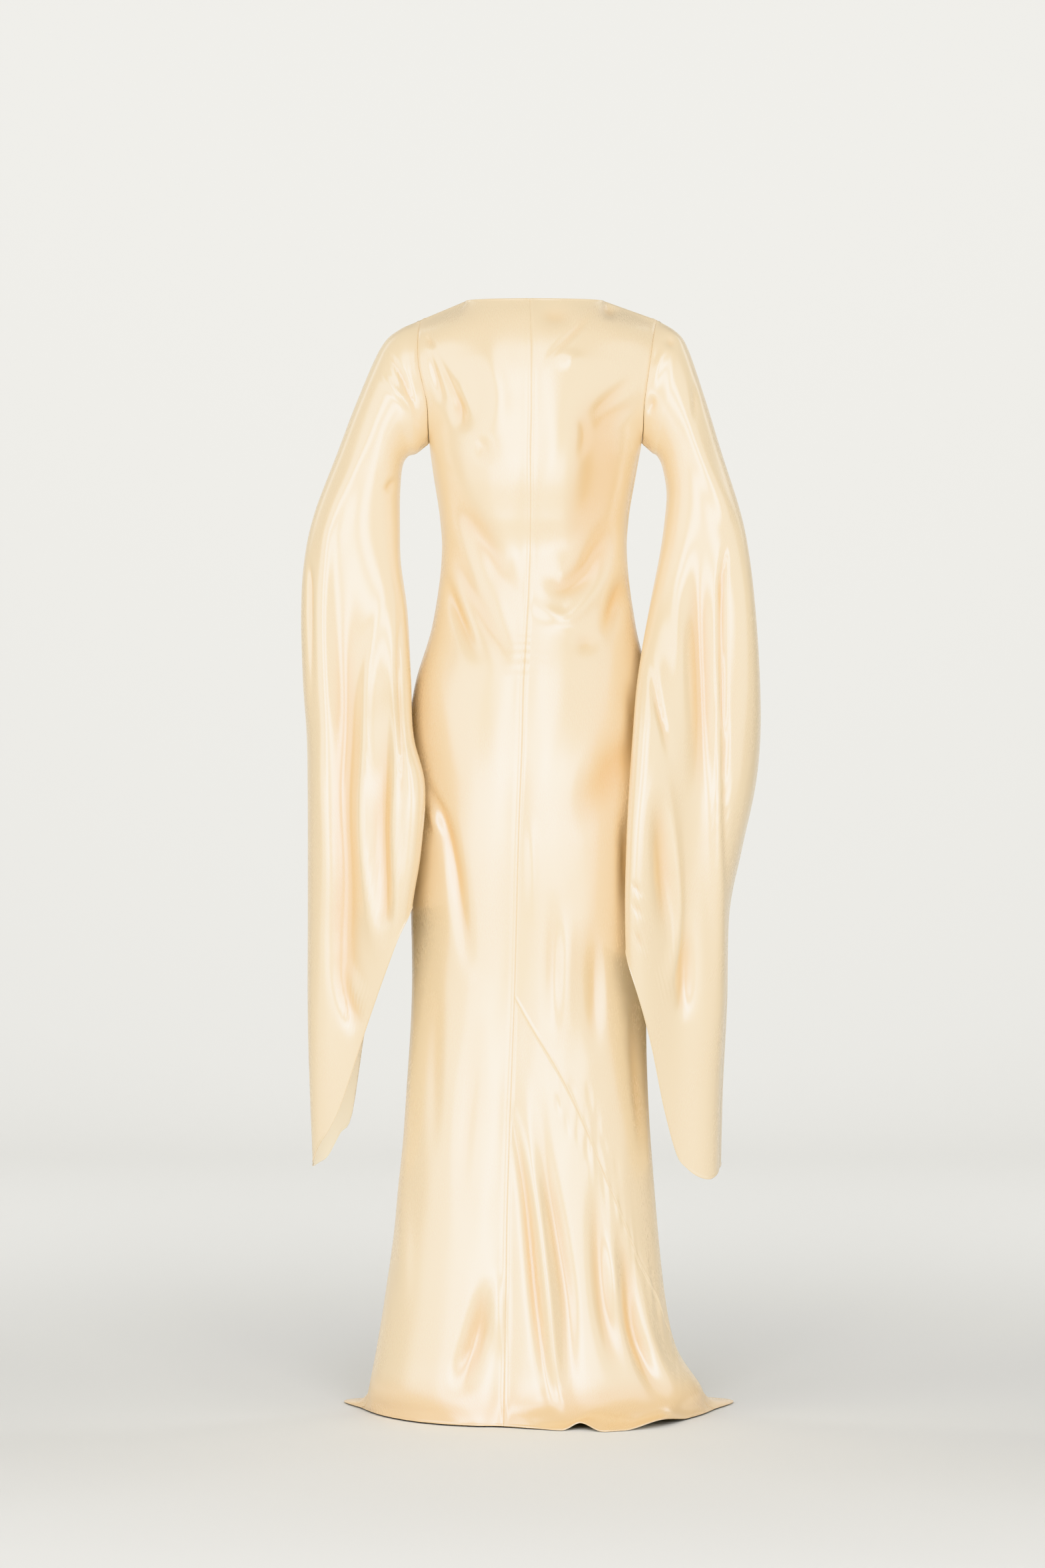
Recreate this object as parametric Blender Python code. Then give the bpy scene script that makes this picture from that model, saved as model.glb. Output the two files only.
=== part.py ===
"""A floor-length silk satin gown, bias cut, with long open angel sleeves.

It keeps the hollow form that it has when it is worn: the cloth panels stand round an
empty figure, the sleeves hang beside the hips, and the hem lies out on the floor.

Frame: metres, +Z up, +Y the way the wearer faces, +X the wearer's right. The origin is
at shoulder height above the middle of the body, where the wearer holds the gown up.
Heights in the tables are above the floor, and the panels are moved down at the end.
"""

import math
from typing import NamedTuple

import bmesh
import bpy
import numpy as np

SHOULDER_HEIGHT = 1.530
CLOTH = 0.0015
SEAM_INSET = 0.0002
SLEEVE_CLEARANCE = 0.010

# Cut lines of the gown
NECK_LEFT = 0.088
NECK_RIGHT = 0.102
NECK_POINT_HEIGHT = 1.543
NECK_POINT_DEPTH = -0.004
NECK_BACK_HEIGHT = 1.541
NECK_BACK_DEPTH = -0.052
NECK_FRONT_HEIGHT = 1.500
NECK_FRONT_DEPTH = 0.060
NECK_SHARE = 0.6
SHOULDER_LEFT = 0.151
SHOULDER_RIGHT = 0.176
SHOULDER_POINT_HEIGHT = 1.517
UNDERARM_HEIGHT = 1.346
ARMHOLE_DEPTH = 0.050
HEM_REST = 0.0018

# Below the elbow a sleeve hangs flatter than an ellipse: the power of its section, and where it starts
SLEEVE_SQUARENESS = 1.2
SQUARE_FROM = 1.25
SQUARE_FADE = 0.20

# Grid of each panel: rows down the cloth, columns across it
ARMHOLE_ROWS = 10
SIDE_ROWS = 26
FRONT_COLUMNS = 28
BACK_COLUMNS = 14
UPPER_RIGHT_ROWS = 32
LOWER_RIGHT_ROWS = 15
SLEEVE_ROWS = 24

BACK = -1
FRONT = 1
IVORY = (0.80, 0.70, 0.52, 1.0)


class Girth(NamedTuple):
    """One section through the body: heights at centre back, sides and centre front, then its form."""

    name: str
    back_height: float
    side_height: float
    front_height: float
    left: float
    right: float
    armhole_share: float
    back: float
    front: float
    sweep: float
    seam: float


class Ring(NamedTuple):
    """One section through a sleeve, from its outer point to its inner point."""

    name: str
    outer: float
    outer_height: float
    outer_y: float
    inner: float
    inner_height: float
    inner_y: float
    back: float
    back_y: float
    front: float
    front_y: float


class HemPoint(NamedTuple):
    """A point of the hem: the share across its panel, where it lies, and how the cloth lands there."""

    across: float
    x: float
    y: float
    height: float
    landing: float = 0.42
    landing_height: float = 0.0115


class Fold(NamedTuple):
    """A soft ridge (depth above 0) or trough, drawn from one point to another as seen from its side."""

    x0: float
    height0: float
    x1: float
    height1: float
    bow: float
    width0: float
    width1: float
    depth0: float
    depth1: float


def at_armhole(name, share, back_height, front_height, left, right, back, front, sweep, seam):
    """A section that ends at the armhole: share 0 is the shoulder point, 1 the underarm."""
    middle = (SHOULDER_POINT_HEIGHT + UNDERARM_HEIGHT) / 2
    half = (SHOULDER_POINT_HEIGHT - UNDERARM_HEIGHT) / 2
    height = middle + half * (0.45 * math.cos(math.pi * share) + 0.55 * (1 - 2 * share))
    return Girth(name, back_height, height, front_height, left, right, share, back, front, sweep, seam)


def level(name, height, left, right, back, front, seam, centre=None):
    """A section below the underarm, whose halves meet at the side seams; it may dip to its centres."""
    middle = centre or height
    return Girth(name, middle, height, middle, left, right, 1.0, back, front, 90.0, seam)


GIRTHS = (
    at_armhole("yoke", 0.20, 1.512, 1.468, 0.1545, 0.171, -0.076, 0.080, 60.0, 0.001),
    at_armhole("blades", 0.42, 1.468, 1.434, 0.153, 0.165, -0.098, 0.100, 52.0, 0.002),
    at_armhole("chest", 0.66, 1.420, 1.400, 0.142, 0.158, -0.110, 0.117, 56.0, 0.002),
    at_armhole("armpit", 0.86, 1.374, 1.366, 0.1405, 0.157, -0.1125, 0.124, 72.0, 0.002),
    level("underarm", UNDERARM_HEIGHT, 0.1390, 0.1550, -0.1125, 0.126, 0.001, 1.332),
    level("bust", 1.303, 0.1335, 0.1475, -0.107, 0.125, 0.001, 1.288),
    level("ribs", 1.239, 0.124, 0.137, -0.095, 0.112, 0.001),
    level("waist", 1.180, 0.1225, 0.1355, -0.083, 0.096, 0.000),
    level("high hip", 1.091, 0.135, 0.147, -0.096, 0.100, -0.004),
    level("hip", 1.010, 0.159, 0.166, -0.118, 0.107, -0.0085),
    level("seat", 0.920, 0.170, 0.176, -0.127, 0.111, -0.011),
    level("thigh", 0.800, 0.168, 0.174, -0.121, 0.112, -0.0155),
    level("knee", 0.600, 0.163, 0.162, -0.104, 0.106, -0.0205),
    level("calf", 0.444, 0.171, 0.164, -0.101, 0.102, -0.026),
    level("shin", 0.290, 0.183, 0.1745, -0.106, 0.104, -0.031),
    level("ankle", 0.166, 0.200, 0.187, -0.114, 0.110, -0.0325),
    level("flare", 0.092, 0.212, 0.203, -0.120, 0.114, -0.034),
    level("bend", 0.040, 0.222, 0.236, -0.126, 0.122, -0.035),
)
GIRTH_VALUES = np.array([girth[1:] for girth in GIRTHS])
UNDERARM = 5.0
HEM = len(GIRTHS) + 2.0

BACK_HEM = (
    HemPoint(-1.00, -0.234, 0.040, 0.0018),
    HemPoint(-0.90, -0.222, 0.008, 0.0018),
    HemPoint(-0.80, -0.207, -0.025, 0.0018, 0.7, 0.0130),
    HemPoint(-0.60, -0.165, -0.080, 0.0018, 0.8, 0.0150),
    HemPoint(-0.40, -0.118, -0.113, 0.0018, 0.8, 0.0150),
    HemPoint(-0.20, -0.075, -0.128, 0.0018, 0.6, 0.0120),
    HemPoint(0.00, -0.036, -0.133, 0.0018, 0.7, 0.0130),
    HemPoint(0.12, 0.005, -0.150, 0.0018, 0.7, 0.0130),
    HemPoint(0.24, 0.044, -0.163, 0.0018),
    HemPoint(0.33, 0.068, -0.154, 0.0150),
    HemPoint(0.42, 0.096, -0.174, 0.0018),
    HemPoint(0.52, 0.130, -0.163, 0.0018),
    HemPoint(0.64, 0.176, -0.132, 0.0170),
    HemPoint(0.76, 0.2156, -0.062, 0.0018),
    HemPoint(0.88, 0.240, -0.016, 0.0018),
    HemPoint(1.00, 0.258, 0.030, 0.0018),
)
FRONT_HEM = (
    HemPoint(-1.00, -0.234, 0.040, 0.0018),
    HemPoint(-0.86, -0.262, 0.106, 0.0018),
    HemPoint(-0.70, -0.222, 0.142, 0.0018),
    HemPoint(-0.50, -0.160, 0.160, 0.0120),
    HemPoint(-0.30, -0.098, 0.168, 0.0018),
    HemPoint(0.00, 0.004, 0.172, 0.0018),
    HemPoint(0.25, 0.092, 0.164, 0.0130),
    HemPoint(0.50, 0.180, 0.162, 0.0018),
    HemPoint(0.70, 0.246, 0.146, 0.0018),
    HemPoint(0.86, 0.288, 0.106, 0.0018),
    HemPoint(1.00, 0.258, 0.030, 0.0018),
)

# The seam that crosses the right back: the share across the back, then its height
BIAS_SEAM = (
    (0.00, 0.583), (0.08, 0.545), (0.20, 0.490), (0.30, 0.437), (0.42, 0.365), (0.52, 0.300),
    (0.64, 0.230), (0.78, 0.170), (0.90, 0.128), (1.00, 0.105),
)

LEFT_RINGS = (
    Ring("cap", 0.180, 1.503, -0.002, 0.156, 1.332, 0.000, 0.166, -0.056, 0.166, 0.052),
    Ring("upper arm", 0.206, 1.478, -0.003, 0.169, 1.327, -0.002, 0.186, -0.058, 0.186, 0.052),
    Ring("biceps", 0.238, 1.406, -0.006, 0.1765, 1.312, -0.004, 0.206, -0.060, 0.206, 0.052),
    Ring("lower arm", 0.266, 1.332, -0.010, 0.1795, 1.276, -0.008, 0.222, -0.060, 0.222, 0.050),
    Ring("elbow", 0.298, 1.246, -0.018, 0.1795, 1.225, -0.015, 0.238, -0.064, 0.240, 0.052),
    Ring("under elbow", 0.3115, 1.180, -0.022, 0.178, 1.178, -0.022, 0.246, -0.070, 0.246, 0.062),
    Ring("forearm", 0.3155, 1.110, -0.022, 0.169, 1.110, -0.028, 0.244, -0.078, 0.244, 0.078),
    Ring("wrist", 0.313, 1.017, -0.020, 0.1635, 1.017, -0.050, 0.240, -0.088, 0.242, 0.092),
    Ring("lobe top", 0.308, 0.940, -0.018, 0.159, 0.940, -0.085, 0.236, -0.108, 0.242, 0.100),
    Ring("lobe", 0.307, 0.870, -0.016, 0.143, 0.870, -0.102, 0.232, -0.118, 0.242, 0.104),
    Ring("lobe foot", 0.307, 0.780, -0.016, 0.149, 0.780, -0.097, 0.232, -0.112, 0.242, 0.102),
    Ring("drop", 0.307, 0.690, -0.014, 0.162, 0.690, -0.085, 0.236, -0.102, 0.243, 0.096),
    Ring("low drop", 0.307, 0.560, -0.012, 0.165, 0.560, -0.064, 0.240, -0.086, 0.246, 0.084),
    Ring("mouth", 0.304, 0.440, -0.010, 0.168, 0.440, -0.050, 0.242, -0.070, 0.248, 0.064),
    Ring("tip", 0.299, 0.320, -0.008, 0.172, 0.320, -0.038, 0.243, -0.052, 0.250, 0.044),
)
RIGHT_RINGS = (
    Ring("cap", 0.200, 1.502, -0.002, 0.169, 1.333, 0.000, 0.184, -0.056, 0.184, 0.052),
    Ring("upper arm", 0.2180, 1.479, -0.003, 0.1765, 1.328, -0.002, 0.195, -0.058, 0.195, 0.052),
    Ring("biceps", 0.243, 1.406, -0.006, 0.184, 1.312, -0.004, 0.214, -0.060, 0.214, 0.052),
    Ring("lower arm", 0.2655, 1.332, -0.010, 0.1896, 1.276, -0.008, 0.228, -0.060, 0.228, 0.050),
    Ring("elbow", 0.291, 1.250, -0.018, 0.186, 1.232, -0.015, 0.238, -0.064, 0.240, 0.052),
    Ring("under elbow", 0.303, 1.190, -0.022, 0.179, 1.186, -0.022, 0.240, -0.070, 0.242, 0.062),
    Ring("forearm", 0.312, 1.110, -0.024, 0.164, 1.110, -0.034, 0.238, -0.080, 0.244, 0.078),
    Ring("wrist", 0.318, 1.017, -0.024, 0.148, 1.017, -0.075, 0.234, -0.100, 0.246, 0.092),
    Ring("lobe top", 0.3185, 0.940, -0.022, 0.141, 0.940, -0.100, 0.230, -0.118, 0.246, 0.100),
    Ring("lobe", 0.3117, 0.870, -0.020, 0.136, 0.870, -0.108, 0.226, -0.122, 0.242, 0.104),
    Ring("lobe foot", 0.292, 0.780, -0.018, 0.132, 0.780, -0.106, 0.214, -0.118, 0.232, 0.102),
    Ring("drop", 0.2745, 0.690, -0.016, 0.131, 0.690, -0.098, 0.204, -0.110, 0.222, 0.096),
    Ring("low drop", 0.271, 0.560, -0.014, 0.135, 0.560, -0.080, 0.204, -0.094, 0.222, 0.084),
    Ring("mouth", 0.265, 0.440, -0.012, 0.138, 0.440, -0.064, 0.202, -0.078, 0.220, 0.064),
    Ring("tip", 0.262, 0.310, -0.010, 0.142, 0.310, -0.050, 0.202, -0.062, 0.218, 0.044),
)

# The slanted mouth of each sleeve: the share round it (0 outer, 0.25 back, 0.5 inner, 0.75 front),
# then the height of the edge
LEFT_MOUTH = (
    (0.00, 0.347), (0.04, 0.350), (0.085, 0.357), (0.125, 0.375), (0.17, 0.399), (0.21, 0.434),
    (0.25, 0.486), (0.29, 0.546), (0.335, 0.614), (0.375, 0.664), (0.42, 0.694), (0.50, 0.700),
    (0.58, 0.694), (0.63, 0.664), (0.67, 0.612), (0.71, 0.548), (0.75, 0.412), (0.79, 0.384),
    (0.835, 0.352), (0.875, 0.344), (0.92, 0.341), (0.96, 0.343), (1.00, 0.347),
)
RIGHT_MOUTH = (
    (0.00, 0.341), (0.04, 0.337), (0.085, 0.333), (0.125, 0.329), (0.17, 0.333), (0.21, 0.344),
    (0.25, 0.364), (0.29, 0.424), (0.335, 0.525), (0.375, 0.590), (0.42, 0.628), (0.50, 0.640),
    (0.58, 0.606), (0.63, 0.556), (0.67, 0.496), (0.71, 0.430), (0.75, 0.388), (0.80, 0.363),
    (0.85, 0.351), (0.90, 0.345), (0.95, 0.342), (1.00, 0.341),
)

BACK_FOLDS = (
    Fold(0.093, 1.535, 0.009, 1.448, 0.000, 0.012, 0.012, -0.003, -0.003),
    Fold(-0.149, 1.515, -0.097, 1.369, 0.000, 0.008, 0.012, -0.003, -0.003),
    Fold(0.157, 1.443, 0.090, 1.365, 0.000, 0.010, 0.014, -0.003, -0.003),
    Fold(0.134, 1.230, 0.060, 1.145, 0.000, 0.012, 0.012, -0.005, -0.004),
    Fold(0.128, 1.262, 0.040, 1.185, 0.000, 0.012, 0.012, 0.003, 0.003),
    Fold(0.000, 1.147, 0.048, 1.103, 0.000, 0.009, 0.009, 0.003, 0.004),
    Fold(0.048, 1.103, 0.130, 1.179, 0.000, 0.009, 0.009, 0.004, 0.003),
    Fold(0.130, 1.150, 0.090, 1.065, 0.000, 0.011, 0.013, -0.005, -0.004),
    Fold(-0.122, 1.193, -0.074, 1.036, 0.000, 0.010, 0.012, -0.004, -0.004),
    Fold(-0.122, 1.240, -0.023, 1.036, -0.008, 0.009, 0.012, -0.003, -0.003),
    Fold(-0.139, 1.060, -0.139, 0.944, 0.000, 0.012, 0.014, -0.005, -0.006),
    Fold(0.150, 0.950, 0.065, 0.825, 0.000, 0.024, 0.030, -0.006, -0.006),
    Fold(-0.142, 0.884, -0.079, 0.592, 0.006, 0.014, 0.020, -0.006, -0.004),
    Fold(0.025, 0.720, 0.025, 0.480, 0.000, 0.016, 0.016, -0.004, -0.003),
    Fold(0.088, 0.690, 0.088, 0.435, 0.000, 0.016, 0.016, -0.004, -0.004),
    Fold(-0.134, 0.574, -0.153, 0.065, 0.000, 0.014, 0.018, -0.004, -0.006),
    Fold(-0.088, 0.518, -0.097, 0.157, 0.000, 0.016, 0.018, -0.003, -0.004),
    Fold(-0.018, 0.361, 0.035, 0.010, -0.004, 0.008, 0.014, -0.005, -0.006),
    Fold(-0.004, 0.388, 0.054, 0.010, -0.004, 0.008, 0.014, 0.004, 0.008),
    Fold(0.022, 0.388, 0.060, 0.060, 0.000, 0.010, 0.014, -0.004, -0.006),
    Fold(0.097, 0.352, 0.120, 0.070, 0.000, 0.012, 0.016, -0.005, -0.007),
    Fold(0.122, 0.278, 0.176, 0.023, 0.000, 0.012, 0.016, -0.005, -0.007),
    Fold(-0.065, 0.170, -0.106, 0.010, 0.000, 0.010, 0.020, -0.005, -0.008),
)
FRONT_FOLDS = (
    Fold(-0.122, 1.205, -0.040, 1.100, 0.000, 0.010, 0.012, -0.004, -0.003),
    Fold(0.134, 1.215, 0.050, 1.105, 0.000, 0.010, 0.012, -0.004, -0.003),
    Fold(0.120, 0.960, 0.040, 0.800, 0.000, 0.022, 0.026, -0.005, -0.004),
    Fold(-0.110, 0.900, -0.060, 0.560, 0.000, 0.016, 0.020, -0.006, -0.005),
    Fold(-0.125, 0.560, -0.150, 0.070, 0.000, 0.014, 0.018, -0.005, -0.007),
    Fold(-0.040, 0.560, -0.055, 0.050, 0.000, 0.016, 0.020, -0.004, -0.007),
    Fold(0.020, 0.640, 0.030, 0.040, 0.000, 0.014, 0.020, 0.004, 0.007),
    Fold(0.070, 0.600, 0.095, 0.050, 0.000, 0.014, 0.018, -0.005, -0.007),
    Fold(0.115, 0.520, 0.160, 0.050, 0.000, 0.014, 0.018, -0.005, -0.007),
)
LEFT_SLEEVE_FOLDS = (
    Fold(-0.204, 1.482, -0.150, 1.366, 0.000, 0.008, 0.010, -0.003, -0.003),
    Fold(-0.262, 1.190, -0.258, 0.480, 0.000, 0.015, 0.017, -0.007, -0.007),
    Fold(-0.222, 1.160, -0.228, 0.700, 0.000, 0.010, 0.010, 0.003, 0.004),
    Fold(-0.201, 0.980, -0.202, 0.620, 0.000, 0.012, 0.012, -0.007, -0.008),
)
RIGHT_SLEEVE_FOLDS = (
    Fold(0.200, 1.470, 0.170, 1.370, 0.000, 0.008, 0.010, -0.003, -0.003),
    Fold(0.231, 1.180, 0.231, 0.790, 0.000, 0.014, 0.016, -0.007, -0.007),
    Fold(0.259, 1.170, 0.254, 0.520, 0.000, 0.010, 0.010, 0.004, 0.004),
    Fold(0.273, 1.190, 0.276, 0.720, 0.000, 0.008, 0.008, -0.005, -0.006),
    Fold(0.176, 0.920, 0.176, 0.590, 0.000, 0.013, 0.013, -0.007, -0.008),
    Fold(0.208, 0.760, 0.210, 0.520, 0.000, 0.011, 0.011, -0.006, -0.006),
)


def through_rows(values, t):
    """Reads smooth curves that pass through values[row, point] at the row numbers t[point]."""
    last = len(values) - 1
    slope = np.empty_like(values)
    slope[1:-1] = (values[2:] - values[:-2]) / 2
    slope[0] = values[1] - values[0]
    slope[-1] = values[-1] - values[-2]
    t = np.clip(t, 0.0, last)
    row = np.minimum(t.astype(int), last - 1)
    u = (t - row)[:, None]
    point = np.arange(len(t))
    start = 2 * u**3 - 3 * u**2 + 1
    return (start * values[row, point] + (1 - start) * values[row + 1, point]
            + (u**3 - 2 * u**2 + u) * slope[row, point] + (u**3 - u**2) * slope[row + 1, point])


def smooth_line(at, knots, values):
    """Reads a smooth line that passes through the values at the rising knots."""
    slope = np.gradient(values, knots)
    k = np.clip(np.searchsorted(knots, at, side="right") - 1, 0, len(knots) - 2)
    span = knots[k + 1] - knots[k]
    u = np.clip((at - knots[k]) / span, 0.0, 1.0)
    start = 2 * u**3 - 3 * u**2 + 1
    return (start * values[k] + (1 - start) * values[k + 1]
            + (u**3 - 2 * u**2 + u) * span * slope[k] + (u**3 - u**2) * span * slope[k + 1])


def unit(vectors):
    """The same directions with a length of 1."""
    return vectors / np.maximum(np.linalg.norm(vectors, axis=-1, keepdims=True), 1e-12)


def top_edge(side, across):
    """The neckline, then the shoulder seam that the back and the front share."""
    right = across > 0
    neck = np.where(right, NECK_RIGHT, -NECK_LEFT)
    shoulder = np.where(right, SHOULDER_RIGHT, -SHOULDER_LEFT)
    depth = NECK_BACK_DEPTH if side == BACK else NECK_FRONT_DEPTH
    height = NECK_BACK_HEIGHT if side == BACK else NECK_FRONT_HEIGHT
    turn = np.minimum(np.abs(across) / NECK_SHARE, 1.0) * math.pi / 2
    along = np.clip((np.abs(across) - NECK_SHARE) / (1 - NECK_SHARE), 0.0, 1.0)
    x = neck * np.sin(turn) + (shoulder - neck) * along
    y = NECK_POINT_DEPTH * (1 - along) + (depth - NECK_POINT_DEPTH) * np.cos(turn)
    z = NECK_POINT_HEIGHT + (height - NECK_POINT_HEIGHT) * np.cos(turn)
    z = z + (SHOULDER_POINT_HEIGHT - NECK_POINT_HEIGHT) * along
    return np.stack([x, y, z], axis=-1)


def girth_row(side, across, girth):
    """The points of one section, back or front, at the shares across from -1 (left) to 1 (right)."""
    height = girth.back_height if side == BACK else girth.front_height
    centre = girth.back if side == BACK else girth.front
    seam = girth.seam if side == BACK else 0.0
    sweep = math.radians(girth.sweep)
    turn = np.abs(across) * sweep
    width = np.where(across > 0, girth.right, -girth.left)
    x = seam + (width - seam) * np.sin(turn) / math.sin(sweep)
    y = centre * (np.cos(turn) - math.cos(sweep)) / (1 - math.cos(sweep))
    z = height + (girth.side_height - height) * np.abs(across) ** 1.6
    return np.stack([x, y, z], axis=-1)


def body_points(side, across, t):
    """Points of the body's cloth: t counts sections down from the neckline to the hem."""
    rows = [top_edge(side, across)]
    rows += [girth_row(side, across, girth) for girth in GIRTHS]
    table = np.array(BACK_HEM if side == BACK else FRONT_HEM)
    x, y, height, share, landing_height = (smooth_line(across, table[:, 0], table[:, k]) for k in range(1, 6))
    hem = np.stack([x, y, np.maximum(height, HEM_REST)], axis=-1)
    landing = rows[-1] + (hem - rows[-1]) * share[:, None]
    landing[:, 2] = landing_height + (hem[:, 2] - HEM_REST) * 0.6
    points = through_rows(np.array([*rows, landing, hem]), t)
    shares = [0.0, *(girth.armhole_share for girth in GIRTHS)]
    share = np.interp(t, np.arange(len(shares)), shares)
    points[:, 1] += side * ARMHOLE_DEPTH * np.sin(math.pi * share) * np.abs(across) ** 2.5
    return points


def fold_depth(points, folds):
    """How far the folds lift each point out of the plain surface."""
    lift = np.zeros(len(points))
    for fold in folds:
        run = np.array([fold.x1 - fold.x0, fold.height1 - fold.height0])
        length = math.hypot(*run)
        run = run / length
        away = points[:, [0, 2]] - (fold.x0, fold.height0)
        u = np.clip(away @ run / length, -0.2, 1.2)
        aside = away @ np.array([-run[1], run[0]]) - fold.bow * 4 * u * (1 - u)
        width = fold.width0 + (fold.width1 - fold.width0) * np.clip(u, 0, 1)
        depth = fold.depth0 + (fold.depth1 - fold.depth0) * np.clip(u, 0, 1)
        taper = ease(u / 0.2 + 0.3) * ease((1 - u) / 0.2 + 0.3)
        lift += depth * taper * np.exp(-((aside / width) ** 2))
    return lift


def ease(value):
    """A soft step from 0 to 1."""
    value = np.clip(value, 0.0, 1.0)
    return value * value * (3 - 2 * value)


def body_panel(side, across, t):
    """Points and outward directions of a panel whose grid has these shares across and sections t."""
    shape = across.shape
    across = across.ravel()
    t = t.ravel()
    step = 1e-4
    points = body_points(side, across, t)
    limit = np.where(t < UNDERARM, 0.96, 1.0)
    near = np.clip(across, -limit, limit)
    over = (body_points(side, np.minimum(near + step, 1), t)
            - body_points(side, np.maximum(near - step, -1), t))
    down = body_points(side, near, np.minimum(t + step, HEM)) - body_points(side, near, t - step)
    out = unit(side * np.cross(over, down))
    folds = BACK_FOLDS if side == BACK else FRONT_FOLDS
    calm = ease((1 - np.abs(across)) / 0.12) * ease(t / 0.5) * ease((HEM - t) / 1.5)
    points = points + out * (fold_depth(points, folds) * calm)[:, None]
    return points.reshape(*shape, 3), out.reshape(*shape, 3)


def section_at(height):
    """The section number at a height, on a column below the underarm."""
    heights = GIRTH_VALUES[4:, 1][::-1]
    return np.interp(height, heights, np.arange(len(GIRTHS), 4, -1.0))


def keep_clear(points):
    """Moves points level away from the body's axis until they clear its cloth."""
    heights = GIRTH_VALUES[:, 1][::-1]
    columns = [np.interp(points[:, 2], heights, GIRTH_VALUES[::-1, k]) for k in (3, 4, 6, 7)]
    left, right, back, front = columns
    wide = np.where(points[:, 0] > 0, right, left) + SLEEVE_CLEARANCE
    deep = np.where(points[:, 1] > 0, front, -back) + SLEEVE_CLEARANCE
    reach = np.hypot(points[:, 0] / wide, points[:, 1] / deep)
    below = ease((UNDERARM_HEIGHT - 0.02 - points[:, 2]) / 0.05)
    push = np.maximum(1 / np.maximum(reach, 0.3), 1.0) ** below
    moved = points.copy()
    moved[:, :2] *= push[:, None]
    return moved


def sleeve_points(hand, rings, mouth, around, share):
    """Points of a sleeve: around runs 0 to 1 from its outer line by the back, share 0 to 1 down it."""
    back_half = around <= 0.5
    t = UNDERARM * np.where(back_half, 2 * around, 2 - 2 * around)
    edge = np.full(len(around), float(hand))
    armhole = np.where(back_half[:, None], body_points(BACK, edge, t), body_points(FRONT, edge, t))
    turn = 2 * math.pi * around[:, None]
    stations = [armhole]
    for ring in rings:
        outer = np.array([hand * ring.outer, ring.outer_y, ring.outer_height])
        inner = np.array([hand * ring.inner, ring.inner_y, ring.inner_height])
        middle = (outer + inner) / 2
        back = np.array([hand * ring.back, ring.back_y, middle[2]]) - middle
        front = np.array([hand * ring.front, ring.front_y, middle[2]]) - middle
        power = 2 + SLEEVE_SQUARENESS * ease((SQUARE_FROM - middle[2]) / SQUARE_FADE)
        reach = (np.abs(np.cos(turn)) ** power + np.abs(np.sin(turn)) ** power) ** (-1 / power)
        stations.append(middle + reach * (outer - inner) / 2 * np.cos(turn)
                        + reach * (back - front) / 2 * np.sin(turn) + (back + front) / 2 * np.sin(turn) ** 2)
    stations = np.array(stations)
    heights = np.array([ring.outer_height for ring in rings])[::-1]
    edge_height = smooth_line(around, *np.array(mouth).T)
    end = np.interp(edge_height, heights, np.arange(len(rings), 0, -1.0))
    return keep_clear(through_rows(stations, end * share))


def sleeve_panel(hand, rings, mouth, folds):
    """Points and outward directions of a whole sleeve; its first and last columns are the same."""
    columns = 2 * ARMHOLE_ROWS
    around, share = np.meshgrid(np.arange(columns + 1) / columns, np.linspace(0, 1, SLEEVE_ROWS + 1))
    share = share * (0.7 + 0.3 * share)
    shape = around.shape
    around = around.ravel()
    share = share.ravel()
    step = 1e-4
    points = sleeve_points(hand, rings, mouth, around, share)
    over = (sleeve_points(hand, rings, mouth, (around + step) % 1, share)
            - sleeve_points(hand, rings, mouth, (around - step) % 1, share))
    down = (sleeve_points(hand, rings, mouth, around, np.minimum(share + step, 1))
            - sleeve_points(hand, rings, mouth, around, np.maximum(share - step, 0)))
    out = unit(hand * np.cross(over, down))
    calm = ease(np.sin(2 * math.pi * around) / 0.5) * ease(share / 0.1)
    points = points + out * (fold_depth(points, folds) * calm)[:, None]
    out = out.reshape(*shape, 3)
    out[0] = unit(out[0] * (0.0, 1.0, 1.0))
    return points.reshape(*shape, 3), out


def join_directions(panels):
    """Gives points that panels share at their seams one direction, so that their walls stay parallel."""
    found = {}
    for points, out in panels.values():
        for key, direction in zip(np.round(points.reshape(-1, 3), 5), out.reshape(-1, 3)):
            found.setdefault(tuple(key), []).append(direction.copy())
    for points, out in panels.values():
        for key, direction in zip(np.round(points.reshape(-1, 3), 5), out.reshape(-1, 3)):
            direction[:] = unit(np.sum(found[tuple(key)], axis=0))


def inset(edge, inner):
    """The small move that takes a sewn edge off its seam, along the cloth and square to the seam."""
    along = unit(np.gradient(edge, axis=0))
    away = inner - edge
    away = away - along * np.sum(away * along, axis=-1, keepdims=True)
    return unit(away) * SEAM_INSET


def seam_moves(points, sewn):
    """The moves of all sewn edges of a panel's grid."""
    moves = np.zeros_like(points)
    if "top" in sewn:
        moves[0] += inset(points[0], points[1])
    if "bottom" in sewn:
        moves[-1] += inset(points[-1], points[-2])
    if "left" in sewn:
        moves[:, 0] += inset(points[:, 0], points[:, 1])
    if "right" in sewn:
        moves[:, -1] += inset(points[:, -1], points[:, -2])
    return moves


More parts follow.
